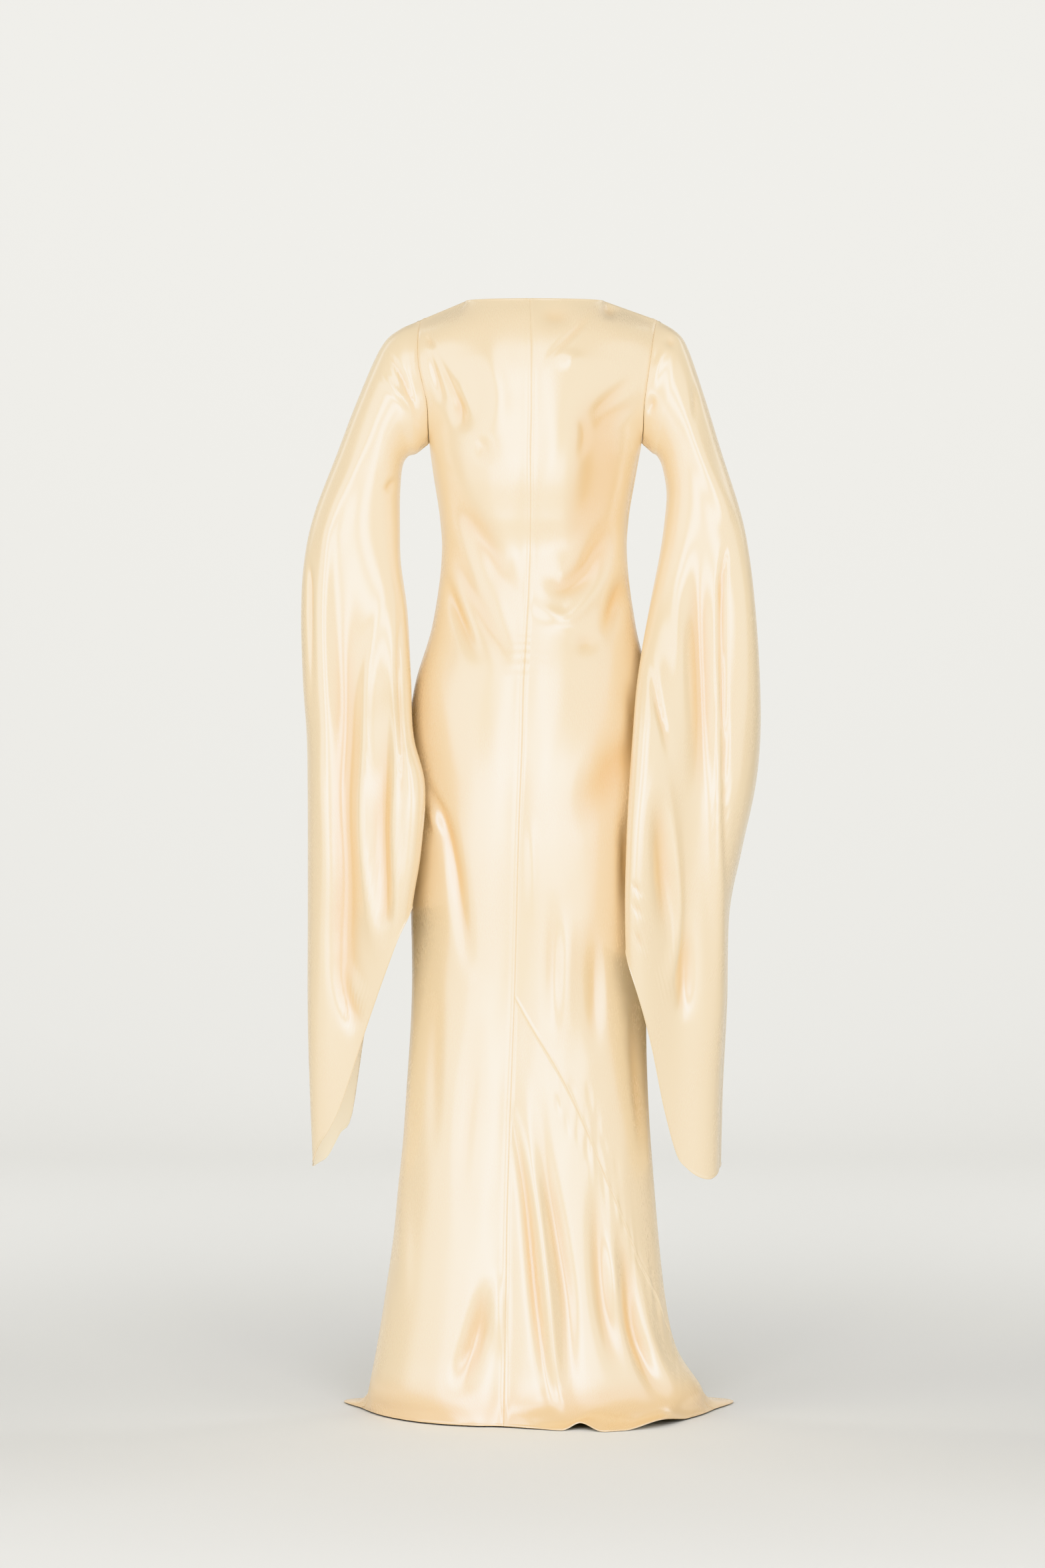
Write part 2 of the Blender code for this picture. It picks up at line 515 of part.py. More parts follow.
def add_cloth(collection, name, points, out, sewn):
    """Makes one closed shell of cloth from a panel's grid."""
    moves = seam_moves(points, sewn)
    if np.allclose(points[:, 0], points[:, -1]):
        moves[:, 0] = moves[:, -1] = (moves[:, 0] + moves[:, -1]) / 2
        out[:, 0] = out[:, -1]
    points = points + moves
    points = points - np.array([0.0, 0.0, SHOULDER_HEIGHT])
    inner = points - out * CLOTH
    rows, columns = points.shape[:2]
    bm = bmesh.new()
    bmesh.ops.create_grid(bm, x_segments=columns - 1, y_segments=rows - 1, size=1.0)
    place = bm.verts.layers.int.new("place")
    for index, vert in enumerate(bm.verts):
        vert[place] = index
        vert.co = points.reshape(-1, 3)[index]
    bmesh.ops.remove_doubles(bm, verts=bm.verts[:], dist=1e-6)
    made = bmesh.ops.extrude_face_region(bm, geom=bm.faces[:], use_keep_orig=True)
    for vert in [item for item in made["geom"] if isinstance(item, bmesh.types.BMVert)]:
        vert.co = inner.reshape(-1, 3)[vert[place]]
    bmesh.ops.recalc_face_normals(bm, faces=bm.faces[:])
    mesh = bpy.data.meshes.new(name)
    bm.to_mesh(mesh)
    bm.free()
    mesh.shade_smooth()
    material = bpy.data.materials.new(f"{name}_satin")
    material.use_nodes = True
    shader = material.node_tree.nodes["Principled BSDF"]
    shader.inputs["Base Color"].default_value = IVORY
    shader.inputs["Roughness"].default_value = 0.35
    mesh.materials.append(material)
    collection.objects.link(bpy.data.objects.new(name, mesh))


def half_rows(rows, foot):
    """Section numbers down one column that starts at the neckline and ends at the section foot."""
    armhole = np.linspace(0, UNDERARM, ARMHOLE_ROWS + 1)
    below = np.linspace(UNDERARM, foot, rows - ARMHOLE_ROWS + 1)
    return np.concatenate([armhole, below[1:]])


def build_gown(collection):
    """Makes the six pieces of the gown."""
    side = half_rows(ARMHOLE_ROWS + SIDE_ROWS, HEM)
    panels = {}
    across, t = np.meshgrid(np.linspace(-1, 1, FRONT_COLUMNS + 1), side)
    panels["front"] = body_panel(FRONT, across, t)
    across, t = np.meshgrid(np.linspace(-1, 0, BACK_COLUMNS + 1), side)
    panels["back_left"] = body_panel(BACK, across, t)
    right = np.linspace(0, 1, BACK_COLUMNS + 1)
    foot = section_at(smooth_line(right, *np.array(BIAS_SEAM).T))
    upper = np.stack([half_rows(UPPER_RIGHT_ROWS, end) for end in foot], axis=1)
    panels["back_right"] = body_panel(BACK, np.broadcast_to(right, upper.shape), upper)
    lower = np.linspace(foot, HEM, LOWER_RIGHT_ROWS + 1)
    panels["back_lower"] = body_panel(BACK, np.broadcast_to(right, lower.shape), lower)
    join_directions(panels)
    panels["sleeve_left"] = sleeve_panel(-1, LEFT_RINGS, LEFT_MOUTH, LEFT_SLEEVE_FOLDS)
    panels["sleeve_right"] = sleeve_panel(1, RIGHT_RINGS, RIGHT_MOUTH, RIGHT_SLEEVE_FOLDS)
    sewn = {
        "front": ("top", "left", "right"),
        "back_left": ("top", "left", "right"),
        "back_right": ("top", "left", "right", "bottom"),
        "back_lower": ("top", "left", "right"),
        "sleeve_left": ("top",),
        "sleeve_right": ("top",),
    }
    for name, (points, out) in panels.items():
        add_cloth(collection, name, points, out, sewn[name])


def main():
    """Clears the file and builds the gown in its own collection."""
    for item in list(bpy.data.objects):
        bpy.data.objects.remove(item, do_unlink=True)
    collection = bpy.data.collections.new("silk_gown")
    bpy.context.scene.collection.children.link(collection)
    build_gown(collection)


main()
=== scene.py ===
"""Looks of the silk gown: satin panels with their creases, seams, rolled edges, light and camera.

Lengths are in metres in the part's frame: the origin is at shoulder height, +X the wearer's
right, +Y the way the wearer faces. Tables give heights above the floor, which is at
z = -SHOULDER_HEIGHT. A crease's path is drawn as seen from its own side of the gown.
"""

import logging
import math
from dataclasses import dataclass
from enum import Enum
from typing import NamedTuple, Optional, Sequence

import bmesh
import bpy
import numpy as np
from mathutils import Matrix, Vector

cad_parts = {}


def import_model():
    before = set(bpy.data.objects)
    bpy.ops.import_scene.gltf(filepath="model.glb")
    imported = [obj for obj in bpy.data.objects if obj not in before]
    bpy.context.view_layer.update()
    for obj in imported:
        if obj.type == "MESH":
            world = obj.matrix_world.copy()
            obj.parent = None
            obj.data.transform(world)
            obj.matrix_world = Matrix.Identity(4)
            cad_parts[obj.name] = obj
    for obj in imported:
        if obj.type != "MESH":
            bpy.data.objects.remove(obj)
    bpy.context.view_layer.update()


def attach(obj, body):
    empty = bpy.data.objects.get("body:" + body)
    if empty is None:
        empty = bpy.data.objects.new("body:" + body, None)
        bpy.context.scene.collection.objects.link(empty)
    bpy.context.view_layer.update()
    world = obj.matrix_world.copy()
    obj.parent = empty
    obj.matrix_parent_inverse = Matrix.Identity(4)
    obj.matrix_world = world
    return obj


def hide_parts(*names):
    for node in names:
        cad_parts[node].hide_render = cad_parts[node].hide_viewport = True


LOG = logging.getLogger("silk_gown")
SHOULDER_HEIGHT = 1.530


class Side(Enum):
    """The half of the gown that a panel lies on; its value is the sign of the depth."""

    BACK = -1
    FRONT = 1


class Hand(Enum):
    """A sleeve's side; its value is the sign of X."""

    LEFT = -1
    RIGHT = 1


class Girth(NamedTuple):
    """One section through the body: heights at centre back, sides and centre front, then its form."""

    name: str
    back_height: float
    side_height: float
    front_height: float
    left: float
    right: float
    armhole_share: float
    back: float
    front: float
    sweep: float
    seam: float


class Ring(NamedTuple):
    """One section through a sleeve, from its outer point to its inner point."""

    name: str
    outer: float
    outer_height: float
    outer_y: float
    inner: float
    inner_height: float
    inner_y: float
    back: float
    back_y: float
    front: float
    front_y: float


class HemPoint(NamedTuple):
    """A point of the hem: the share across its panel, where it lies, and how far out the cloth lands."""

    across: float
    x: float
    y: float
    height: float
    landing: float = 0.42
    landing_height: float = 0.0115


class Cut(NamedTuple):
    """A panel's flat size before it was sewn, its area, and the panels that carry it."""

    width: float
    length: float
    area: float
    hangs_from: tuple = ()


class Crease(NamedTuple):
    """A soft ridge (depth above 0) or groove along a path of (x, height) points."""

    path: tuple
    width: float
    depth: float
    end_width: float = 0.0


GIRTHS = (
    Girth("yoke", 1.512, 1.491, 1.468, 0.1545, 0.171, 0.20, -0.076, 0.080, 60.0, 0.001),
    Girth("blades", 1.468, 1.449, 1.434, 0.153, 0.165, 0.42, -0.098, 0.100, 52.0, 0.002),
    Girth("chest", 1.420, 1.398, 1.400, 0.142, 0.158, 0.66, -0.110, 0.117, 56.0, 0.002),
    Girth("armpit", 1.374, 1.363, 1.366, 0.1405, 0.157, 0.86, -0.1125, 0.124, 72.0, 0.002),
    Girth("underarm", 1.332, 1.346, 1.332, 0.1390, 0.155, 1.0, -0.1125, 0.126, 90.0, 0.001),
    Girth("bust", 1.288, 1.303, 1.288, 0.1335, 0.1475, 1.0, -0.107, 0.125, 90.0, 0.001),
    Girth("ribs", 1.239, 1.239, 1.239, 0.124, 0.137, 1.0, -0.095, 0.112, 90.0, 0.001),
    Girth("waist", 1.180, 1.180, 1.180, 0.1225, 0.1355, 1.0, -0.083, 0.096, 90.0, 0.000),
    Girth("high hip", 1.091, 1.091, 1.091, 0.135, 0.147, 1.0, -0.096, 0.100, 90.0, -0.004),
    Girth("hip", 1.010, 1.010, 1.010, 0.159, 0.166, 1.0, -0.118, 0.107, 90.0, -0.0085),
    Girth("seat", 0.920, 0.920, 0.920, 0.170, 0.176, 1.0, -0.127, 0.111, 90.0, -0.011),
    Girth("thigh", 0.800, 0.800, 0.800, 0.168, 0.174, 1.0, -0.121, 0.112, 90.0, -0.0155),
    Girth("knee", 0.600, 0.600, 0.600, 0.163, 0.162, 1.0, -0.104, 0.106, 90.0, -0.0205),
    Girth("calf", 0.444, 0.444, 0.444, 0.171, 0.164, 1.0, -0.101, 0.102, 90.0, -0.026),
    Girth("shin", 0.290, 0.290, 0.290, 0.183, 0.1745, 1.0, -0.106, 0.104, 90.0, -0.031),
    Girth("ankle", 0.166, 0.166, 0.166, 0.200, 0.187, 1.0, -0.114, 0.110, 90.0, -0.0325),
    Girth("flare", 0.092, 0.092, 0.092, 0.212, 0.203, 1.0, -0.120, 0.114, 90.0, -0.034),
    Girth("bend", 0.040, 0.040, 0.040, 0.222, 0.236, 1.0, -0.126, 0.122, 90.0, -0.035),
)

BACK_HEM = (
    HemPoint(-1.00, -0.234, 0.040, 0.0018),
    HemPoint(-0.90, -0.222, 0.008, 0.0018),
    HemPoint(-0.80, -0.207, -0.025, 0.0018, 0.7, 0.0130),
    HemPoint(-0.60, -0.165, -0.080, 0.0018, 0.8, 0.0150),
    HemPoint(-0.40, -0.118, -0.113, 0.0018, 0.8, 0.0150),
    HemPoint(-0.20, -0.075, -0.128, 0.0018, 0.6, 0.0120),
    HemPoint(0.00, -0.036, -0.133, 0.0018, 0.7, 0.0130),
    HemPoint(0.12, 0.005, -0.150, 0.0018, 0.7, 0.0130),
    HemPoint(0.24, 0.044, -0.163, 0.0018),
    HemPoint(0.33, 0.068, -0.154, 0.0105),
    HemPoint(0.42, 0.096, -0.174, 0.0018),
    HemPoint(0.52, 0.130, -0.163, 0.0018),
    HemPoint(0.64, 0.176, -0.132, 0.0110),
    HemPoint(0.76, 0.2156, -0.062, 0.0018),
    HemPoint(0.88, 0.240, -0.016, 0.0018),
    HemPoint(1.00, 0.258, 0.030, 0.0018),
)
FRONT_HEM = (
    HemPoint(-1.00, -0.234, 0.040, 0.0018),
    HemPoint(-0.86, -0.262, 0.106, 0.0018),
    HemPoint(-0.70, -0.222, 0.142, 0.0018),
    HemPoint(-0.50, -0.160, 0.160, 0.0120),
    HemPoint(-0.30, -0.098, 0.168, 0.0018),
    HemPoint(0.00, 0.004, 0.172, 0.0018),
    HemPoint(0.25, 0.092, 0.164, 0.0130),
    HemPoint(0.50, 0.180, 0.162, 0.0018),
    HemPoint(0.70, 0.246, 0.146, 0.0018),
    HemPoint(0.86, 0.288, 0.106, 0.0018),
    HemPoint(1.00, 0.258, 0.030, 0.0018),
)

# The seam that crosses the right back: the share across the back, then its height
BIAS_SEAM = (
    (0.00, 0.583), (0.08, 0.545), (0.20, 0.490), (0.30, 0.437), (0.42, 0.365), (0.52, 0.300),
    (0.64, 0.230), (0.78, 0.170), (0.90, 0.128), (1.00, 0.105),
)

LEFT_RINGS = (
    Ring("cap", 0.180, 1.503, -0.002, 0.156, 1.332, 0.000, 0.166, -0.056, 0.166, 0.052),
    Ring("upper arm", 0.206, 1.478, -0.003, 0.169, 1.327, -0.002, 0.186, -0.058, 0.186, 0.052),
    Ring("biceps", 0.238, 1.406, -0.006, 0.1765, 1.312, -0.004, 0.206, -0.060, 0.206, 0.052),
    Ring("lower arm", 0.266, 1.332, -0.010, 0.1795, 1.276, -0.008, 0.222, -0.060, 0.222, 0.050),
    Ring("elbow", 0.298, 1.246, -0.018, 0.1795, 1.225, -0.015, 0.238, -0.064, 0.240, 0.052),
    Ring("under elbow", 0.3115, 1.180, -0.022, 0.178, 1.178, -0.022, 0.246, -0.070, 0.246, 0.062),
    Ring("forearm", 0.3155, 1.110, -0.022, 0.169, 1.110, -0.028, 0.244, -0.078, 0.244, 0.078),
    Ring("wrist", 0.313, 1.017, -0.020, 0.1635, 1.017, -0.050, 0.240, -0.088, 0.242, 0.092),
    Ring("lobe top", 0.308, 0.940, -0.018, 0.159, 0.940, -0.085, 0.236, -0.108, 0.242, 0.100),
    Ring("lobe", 0.307, 0.870, -0.016, 0.143, 0.870, -0.102, 0.232, -0.118, 0.242, 0.104),
    Ring("lobe foot", 0.307, 0.780, -0.016, 0.149, 0.780, -0.097, 0.232, -0.112, 0.242, 0.102),
    Ring("drop", 0.307, 0.690, -0.014, 0.162, 0.690, -0.085, 0.236, -0.102, 0.243, 0.096),
    Ring("low drop", 0.307, 0.560, -0.012, 0.165, 0.560, -0.064, 0.240, -0.086, 0.246, 0.084),
    Ring("mouth", 0.304, 0.440, -0.010, 0.168, 0.440, -0.050, 0.242, -0.070, 0.248, 0.064),
    Ring("tip", 0.299, 0.320, -0.008, 0.172, 0.320, -0.038, 0.243, -0.052, 0.250, 0.044),
)
RIGHT_RINGS = (
    Ring("cap", 0.200, 1.502, -0.002, 0.169, 1.333, 0.000, 0.184, -0.056, 0.184, 0.052),
    Ring("upper arm", 0.2180, 1.479, -0.003, 0.1765, 1.328, -0.002, 0.195, -0.058, 0.195, 0.052),
    Ring("biceps", 0.243, 1.406, -0.006, 0.184, 1.312, -0.004, 0.214, -0.060, 0.214, 0.052),
    Ring("lower arm", 0.2655, 1.332, -0.010, 0.1896, 1.276, -0.008, 0.228, -0.060, 0.228, 0.050),
    Ring("elbow", 0.291, 1.250, -0.018, 0.186, 1.232, -0.015, 0.238, -0.064, 0.240, 0.052),
    Ring("under elbow", 0.303, 1.190, -0.022, 0.179, 1.186, -0.022, 0.240, -0.070, 0.242, 0.062),
    Ring("forearm", 0.312, 1.110, -0.024, 0.164, 1.110, -0.034, 0.238, -0.080, 0.244, 0.078),
    Ring("wrist", 0.318, 1.017, -0.024, 0.148, 1.017, -0.075, 0.234, -0.100, 0.246, 0.092),
    Ring("lobe top", 0.3185, 0.940, -0.022, 0.141, 0.940, -0.100, 0.230, -0.118, 0.246, 0.100),
    Ring("lobe", 0.3117, 0.870, -0.020, 0.136, 0.870, -0.108, 0.226, -0.122, 0.242, 0.104),
    Ring("lobe foot", 0.292, 0.780, -0.018, 0.132, 0.780, -0.106, 0.214, -0.118, 0.232, 0.102),
    Ring("drop", 0.2745, 0.690, -0.016, 0.131, 0.690, -0.098, 0.204, -0.110, 0.222, 0.096),
    Ring("low drop", 0.271, 0.560, -0.014, 0.135, 0.560, -0.080, 0.204, -0.094, 0.222, 0.084),
    Ring("mouth", 0.265, 0.440, -0.012, 0.138, 0.440, -0.064, 0.202, -0.078, 0.220, 0.064),
    Ring("tip", 0.262, 0.310, -0.010, 0.142, 0.310, -0.050, 0.202, -0.062, 0.218, 0.044),
)

# The slanted mouth of each sleeve: the share round it (0 outer, 0.25 back, 0.5 inner, 0.75 front),
# then the height of the edge
LEFT_MOUTH = (
    (0.00, 0.347), (0.04, 0.350), (0.085, 0.357), (0.125, 0.375), (0.17, 0.399), (0.21, 0.434),
    (0.25, 0.486), (0.29, 0.546), (0.335, 0.614), (0.375, 0.664), (0.42, 0.694), (0.50, 0.700),
    (0.58, 0.694), (0.63, 0.664), (0.67, 0.612), (0.71, 0.548), (0.75, 0.412), (0.79, 0.384),
    (0.835, 0.352), (0.875, 0.344), (0.92, 0.341), (0.96, 0.343), (1.00, 0.347),
)
RIGHT_MOUTH = (
    (0.00, 0.341), (0.04, 0.337), (0.085, 0.333), (0.125, 0.329), (0.17, 0.333), (0.21, 0.344),
    (0.25, 0.364), (0.29, 0.424), (0.335, 0.525), (0.375, 0.590), (0.42, 0.628), (0.50, 0.640),
    (0.58, 0.606), (0.63, 0.556), (0.67, 0.496), (0.71, 0.430), (0.75, 0.388), (0.80, 0.363),
    (0.85, 0.351), (0.90, 0.345), (0.95, 0.342), (1.00, 0.341),
)

BACK_CREASES = (
    # Left shoulder and shoulder blade
    Crease(((-0.147, 1.4985), (-0.132, 1.475)), 0.004, -0.0025),
    Crease(((-0.143, 1.480), (-0.1175, 1.3875)), 0.004, -0.0030, 0.007),
    Crease(((-0.139, 1.485), (-0.102, 1.406), (-0.088, 1.369)), 0.005, -0.0030, 0.008),
    Crease(((-0.046, 1.517), (-0.0555, 1.4615), (-0.046, 1.406), (-0.060, 1.360), (-0.088, 1.3135)),
           0.018, 0.0030),
    Crease(((-0.097, 1.443), (-0.083, 1.369)), 0.009, 0.0020),
    Crease(((-0.104, 1.415), (-0.0925, 1.3505)), 0.011, -0.0035),
    Crease(((-0.067, 1.360), (-0.065, 1.3135)), 0.011, -0.0030),
    # Left waist
    Crease(((-0.124, 1.322), (-0.097, 1.258), (-0.069, 1.221), (-0.032, 1.156), (-0.009, 1.101)),
           0.018, -0.0045),
    Crease(((-0.122, 1.248), (-0.088, 1.156), (-0.046, 1.073), (-0.0185, 1.010)), 0.014, -0.0035),
    Crease(((-0.122, 1.184), (-0.106, 1.1285), (-0.088, 1.082), (-0.071, 1.036)), 0.007, -0.0050, 0.011),
    # Right shoulder and shoulder blade
    Crease(((0.0925, 1.536), (0.069, 1.508), (0.042, 1.480), (0.009, 1.448)), 0.005, -0.0025),
    Crease(((0.005, 1.522), (0.069, 1.522)), 0.013, -0.0030),
    Crease(((0.102, 1.540), (0.120, 1.517)), 0.009, -0.0030),
    Crease(((0.060, 1.480), (0.060, 1.443)), 0.013, 0.0025),
    Crease(((0.153, 1.443), (0.111, 1.406), (0.079, 1.378)), 0.009, -0.0030),
    Crease(((0.157, 1.406), (0.116, 1.383), (0.083, 1.360)), 0.011, -0.0025),
    Crease(((0.082, 1.440), (0.097, 1.369), (0.099, 1.300), (0.078, 1.225), (0.040, 1.150)),
           0.036, -0.0085),
    Crease(((0.069, 1.3875), (0.079, 1.360), (0.065, 1.3135)), 0.008, -0.0020),
    # Right waist: the deep V fold and what gathers round it
    Crease(((0.138, 1.262), (0.111, 1.221), (0.0925, 1.189), (0.072, 1.160), (0.050, 1.146), (0.028, 1.156),
            (0.006, 1.185)), 0.016, -0.0070),
    Crease(((0.004, 1.130), (0.0185, 1.112), (0.046, 1.100), (0.068, 1.112), (0.0925, 1.142),
            (0.132, 1.190)),
           0.011, 0.0045),
    Crease(((0.072, 1.085), (0.086, 1.050)), 0.014, -0.0030),
    Crease(((0.138, 1.172), (0.118, 1.120), (0.100, 1.060)), 0.012, -0.0060),
    # Hips
    Crease(((0.140, 1.030), (0.148, 0.960), (0.148, 0.860)), 0.012, -0.0030),
    Crease(((0.143, 0.960), (0.108, 0.880), (0.060, 0.800)), 0.028, -0.0055),
    # Upper skirt
    Crease(((-0.143, 0.883), (-0.134, 0.855), (-0.120, 0.820), (-0.106, 0.7585), (-0.097, 0.703),
            (-0.088, 0.638),
            (-0.079, 0.592)), 0.006, -0.0055, 0.013),
    Crease(((-0.139, 0.851), (-0.1295, 0.7955)), 0.007, 0.0030),
    Crease(((0.003, 0.8325), (0.003, 0.666)), 0.007, 0.0015),
    Crease(((0.032, 0.731), (0.034, 0.620), (0.032, 0.518)), 0.010, -0.0028),
    Crease(((0.052, 0.712), (0.051, 0.600), (0.051, 0.481)), 0.012, 0.0025),
    Crease(((0.088, 0.690), (0.091, 0.580), (0.090, 0.481)), 0.012, -0.0034),
    Crease(((0.134, 0.850), (0.137, 0.760), (0.134, 0.666)), 0.010, -0.0040),
    Crease(((0.143, 0.620), (0.150, 0.450), (0.160, 0.296)), 0.010, -0.0040),
    Crease(((-0.130, 0.650), (-0.132, 0.500), (-0.136, 0.290)), 0.012, -0.0020),
    Crease(((-0.068, 0.555), (-0.085, 0.420), (-0.102, 0.230)), 0.013, -0.0020),
    # The folds that fall to the hem right of the centre seam
    Crease(((-0.025, 0.435), (-0.0185, 0.3885), (-0.0046, 0.296), (0.0046, 0.2035), (0.012, 0.1295),
            (0.0213, 0.0648),
            (0.0324, 0.0185), (0.046, 0.000)), 0.005, -0.0070, 0.010),
    Crease(((-0.0046, 0.4625), (0.0046, 0.342), (0.0157, 0.250), (0.025, 0.157), (0.0324, 0.065),
            (0.046, 0.014),
            (0.083, -0.005)), 0.008, 0.0060, 0.012),
    Crease(((0.0157, 0.444), (0.023, 0.342), (0.037, 0.250), (0.051, 0.157), (0.0555, 0.065),
            (0.065, 0.0185)),
           0.010, -0.0055, 0.013),
    Crease(((0.0925, 0.342), (0.095, 0.250), (0.102, 0.157), (0.1156, 0.083), (0.1295, 0.037)),
           0.011, -0.0055, 0.015),
    Crease(((0.111, 0.250), (0.116, 0.180), (0.124, 0.111)), 0.008, 0.0030),
    Crease(((0.120, 0.268), (0.134, 0.2035), (0.143, 0.1295), (0.157, 0.083), (0.171, 0.046),
            (0.190, 0.0185)),
           0.009, -0.0075, 0.013),
    Crease(((0.1526, 0.2035), (0.1665, 0.111), (0.190, 0.0555), (0.217, 0.023)), 0.009, 0.0040, 0.013),
    # Left of the centre seam, near the hem
    Crease(((-0.176, 0.3885), (-0.176, 0.111)), 0.010, 0.0030),
    Crease(((-0.060, 0.190), (-0.0786, 0.090), (-0.106, 0.010)), 0.009, -0.0070, 0.020),
    Crease(((-0.046, 0.2035), (-0.046, 0.065)), 0.010, 0.0030),
)
# Short gathers beside the slanted seam: x, then the heights of the top and the foot
GATHERS = (
    (0.037, 0.446, 0.414), (0.051, 0.427, 0.377), (0.058, 0.470, 0.433), (0.065, 0.418, 0.359),
    (0.0785, 0.391, 0.340), (0.0805, 0.464, 0.414), (0.0925, 0.446, 0.305), (0.102, 0.391, 0.350),
    (0.120, 0.363, 0.312), (0.125, 0.268, 0.222), (0.148, 0.224, 0.200), (0.176, 0.158, 0.132),
)
FRONT_CREASES = (
    Crease(((-0.124, 1.232), (-0.090, 1.170), (-0.060, 1.080)), 0.008, -0.0035, 0.011),
    Crease(((-0.124, 1.180), (-0.092, 1.110), (-0.070, 1.030)), 0.007, -0.0030, 0.010),
    Crease(((0.138, 1.225), (0.090, 1.160), (0.050, 1.090)), 0.009, -0.0040, 0.012),
    Crease(((0.136, 1.170), (0.100, 1.110), (0.080, 1.050)), 0.007, -0.0030, 0.010),
    Crease(((-0.100, 1.440), (-0.070, 1.400), (-0.050, 1.340)), 0.012, -0.0028),
    Crease(((0.115, 1.440), (0.085, 1.400), (0.060, 1.340)), 0.012, -0.0028),
    Crease(((-0.060, 1.500), (0.004, 1.465), (0.070, 1.500)), 0.010, -0.0030),
    Crease(((-0.075, 1.470), (0.004, 1.425), (0.085, 1.468)), 0.013, -0.0030),
    Crease(((0.150, 0.930), (0.105, 0.860), (0.065, 0.800)), 0.018, -0.0045),
    Crease(((-0.150, 0.900), (-0.115, 0.790), (-0.085, 0.640)), 0.010, -0.0045, 0.014),
    Crease(((-0.125, 0.600), (-0.140, 0.300), (-0.170, 0.060)), 0.012, -0.0050, 0.018),
    Crease(((-0.060, 0.620), (-0.070, 0.300), (-0.090, 0.050)), 0.012, -0.0045, 0.020),
    Crease(((-0.100, 0.480), (-0.110, 0.250), (-0.130, 0.040)), 0.012, 0.0035, 0.018),
    Crease(((0.000, 0.700), (0.005, 0.350), (0.010, 0.040)), 0.012, -0.0045, 0.018),
    Crease(((0.035, 0.620), (0.045, 0.300), (0.055, 0.030)), 0.012, 0.0050, 0.018),
    Crease(((0.075, 0.640), (0.090, 0.320), (0.110, 0.040)), 0.012, -0.0055, 0.018),
    Crease(((0.125, 0.560), (0.145, 0.260), (0.185, 0.040)), 0.012, -0.0055, 0.018),
)
LEFT_SLEEVE_CREASES = (
    # Cap
    Crease(((-0.201, 1.480), (-0.190, 1.4615), (-0.176, 1.438), (-0.1665, 1.415), (-0.157, 1.3875),
            (-0.151, 1.369)),
           0.004, -0.0040),
    Crease(((-0.213, 1.452), (-0.190, 1.424), (-0.1665, 1.401), (-0.153, 1.378)), 0.005, 0.0030),
    Crease(((-0.182, 1.302), (-0.202, 1.276)), 0.006, -0.0030),
    # The long ridge and groove of the outer edge
    Crease(((-0.204, 1.415), (-0.236, 1.332), (-0.273, 1.249), (-0.285, 1.175), (-0.285, 0.943),
            (-0.283, 0.666),
            (-0.280, 0.435)), 0.011, 0.0040),
    Crease(((-0.307, 1.193), (-0.3035, 1.129), (-0.3035, 0.943)), 0.003, -0.0040),
    # The broad hollow, then the crisp ridge beside it
    Crease(((-0.259, 1.193), (-0.257, 1.036), (-0.257, 0.851), (-0.257, 0.666), (-0.245, 0.573),
            (-0.236, 0.536)),
           0.017, -0.0080),
    Crease(((-0.203, 1.147), (-0.217, 1.073), (-0.2285, 0.990), (-0.231, 0.897), (-0.231, 0.758),
            (-0.222, 0.684),
            (-0.208, 0.638), (-0.190, 0.638)), 0.008, 0.0050),
    Crease(((-0.203, 0.990), (-0.205, 0.851), (-0.205, 0.712), (-0.203, 0.666)), 0.011, -0.0080),
    Crease(((-0.190, 1.082), (-0.188, 0.897), (-0.186, 0.712), (-0.190, 0.650)), 0.005, 0.0030),
    Crease(((-0.183, 1.147), (-0.180, 1.036), (-0.180, 0.897), (-0.178, 0.712)), 0.003, -0.0040),
    # The folds that turn up round the foot
    Crease(((-0.254, 0.629), (-0.240, 0.583), (-0.217, 0.564)), 0.007, 0.0030),
    Crease(((-0.268, 0.640), (-0.250, 0.560), (-0.231, 0.527)), 0.010, -0.0040),
)
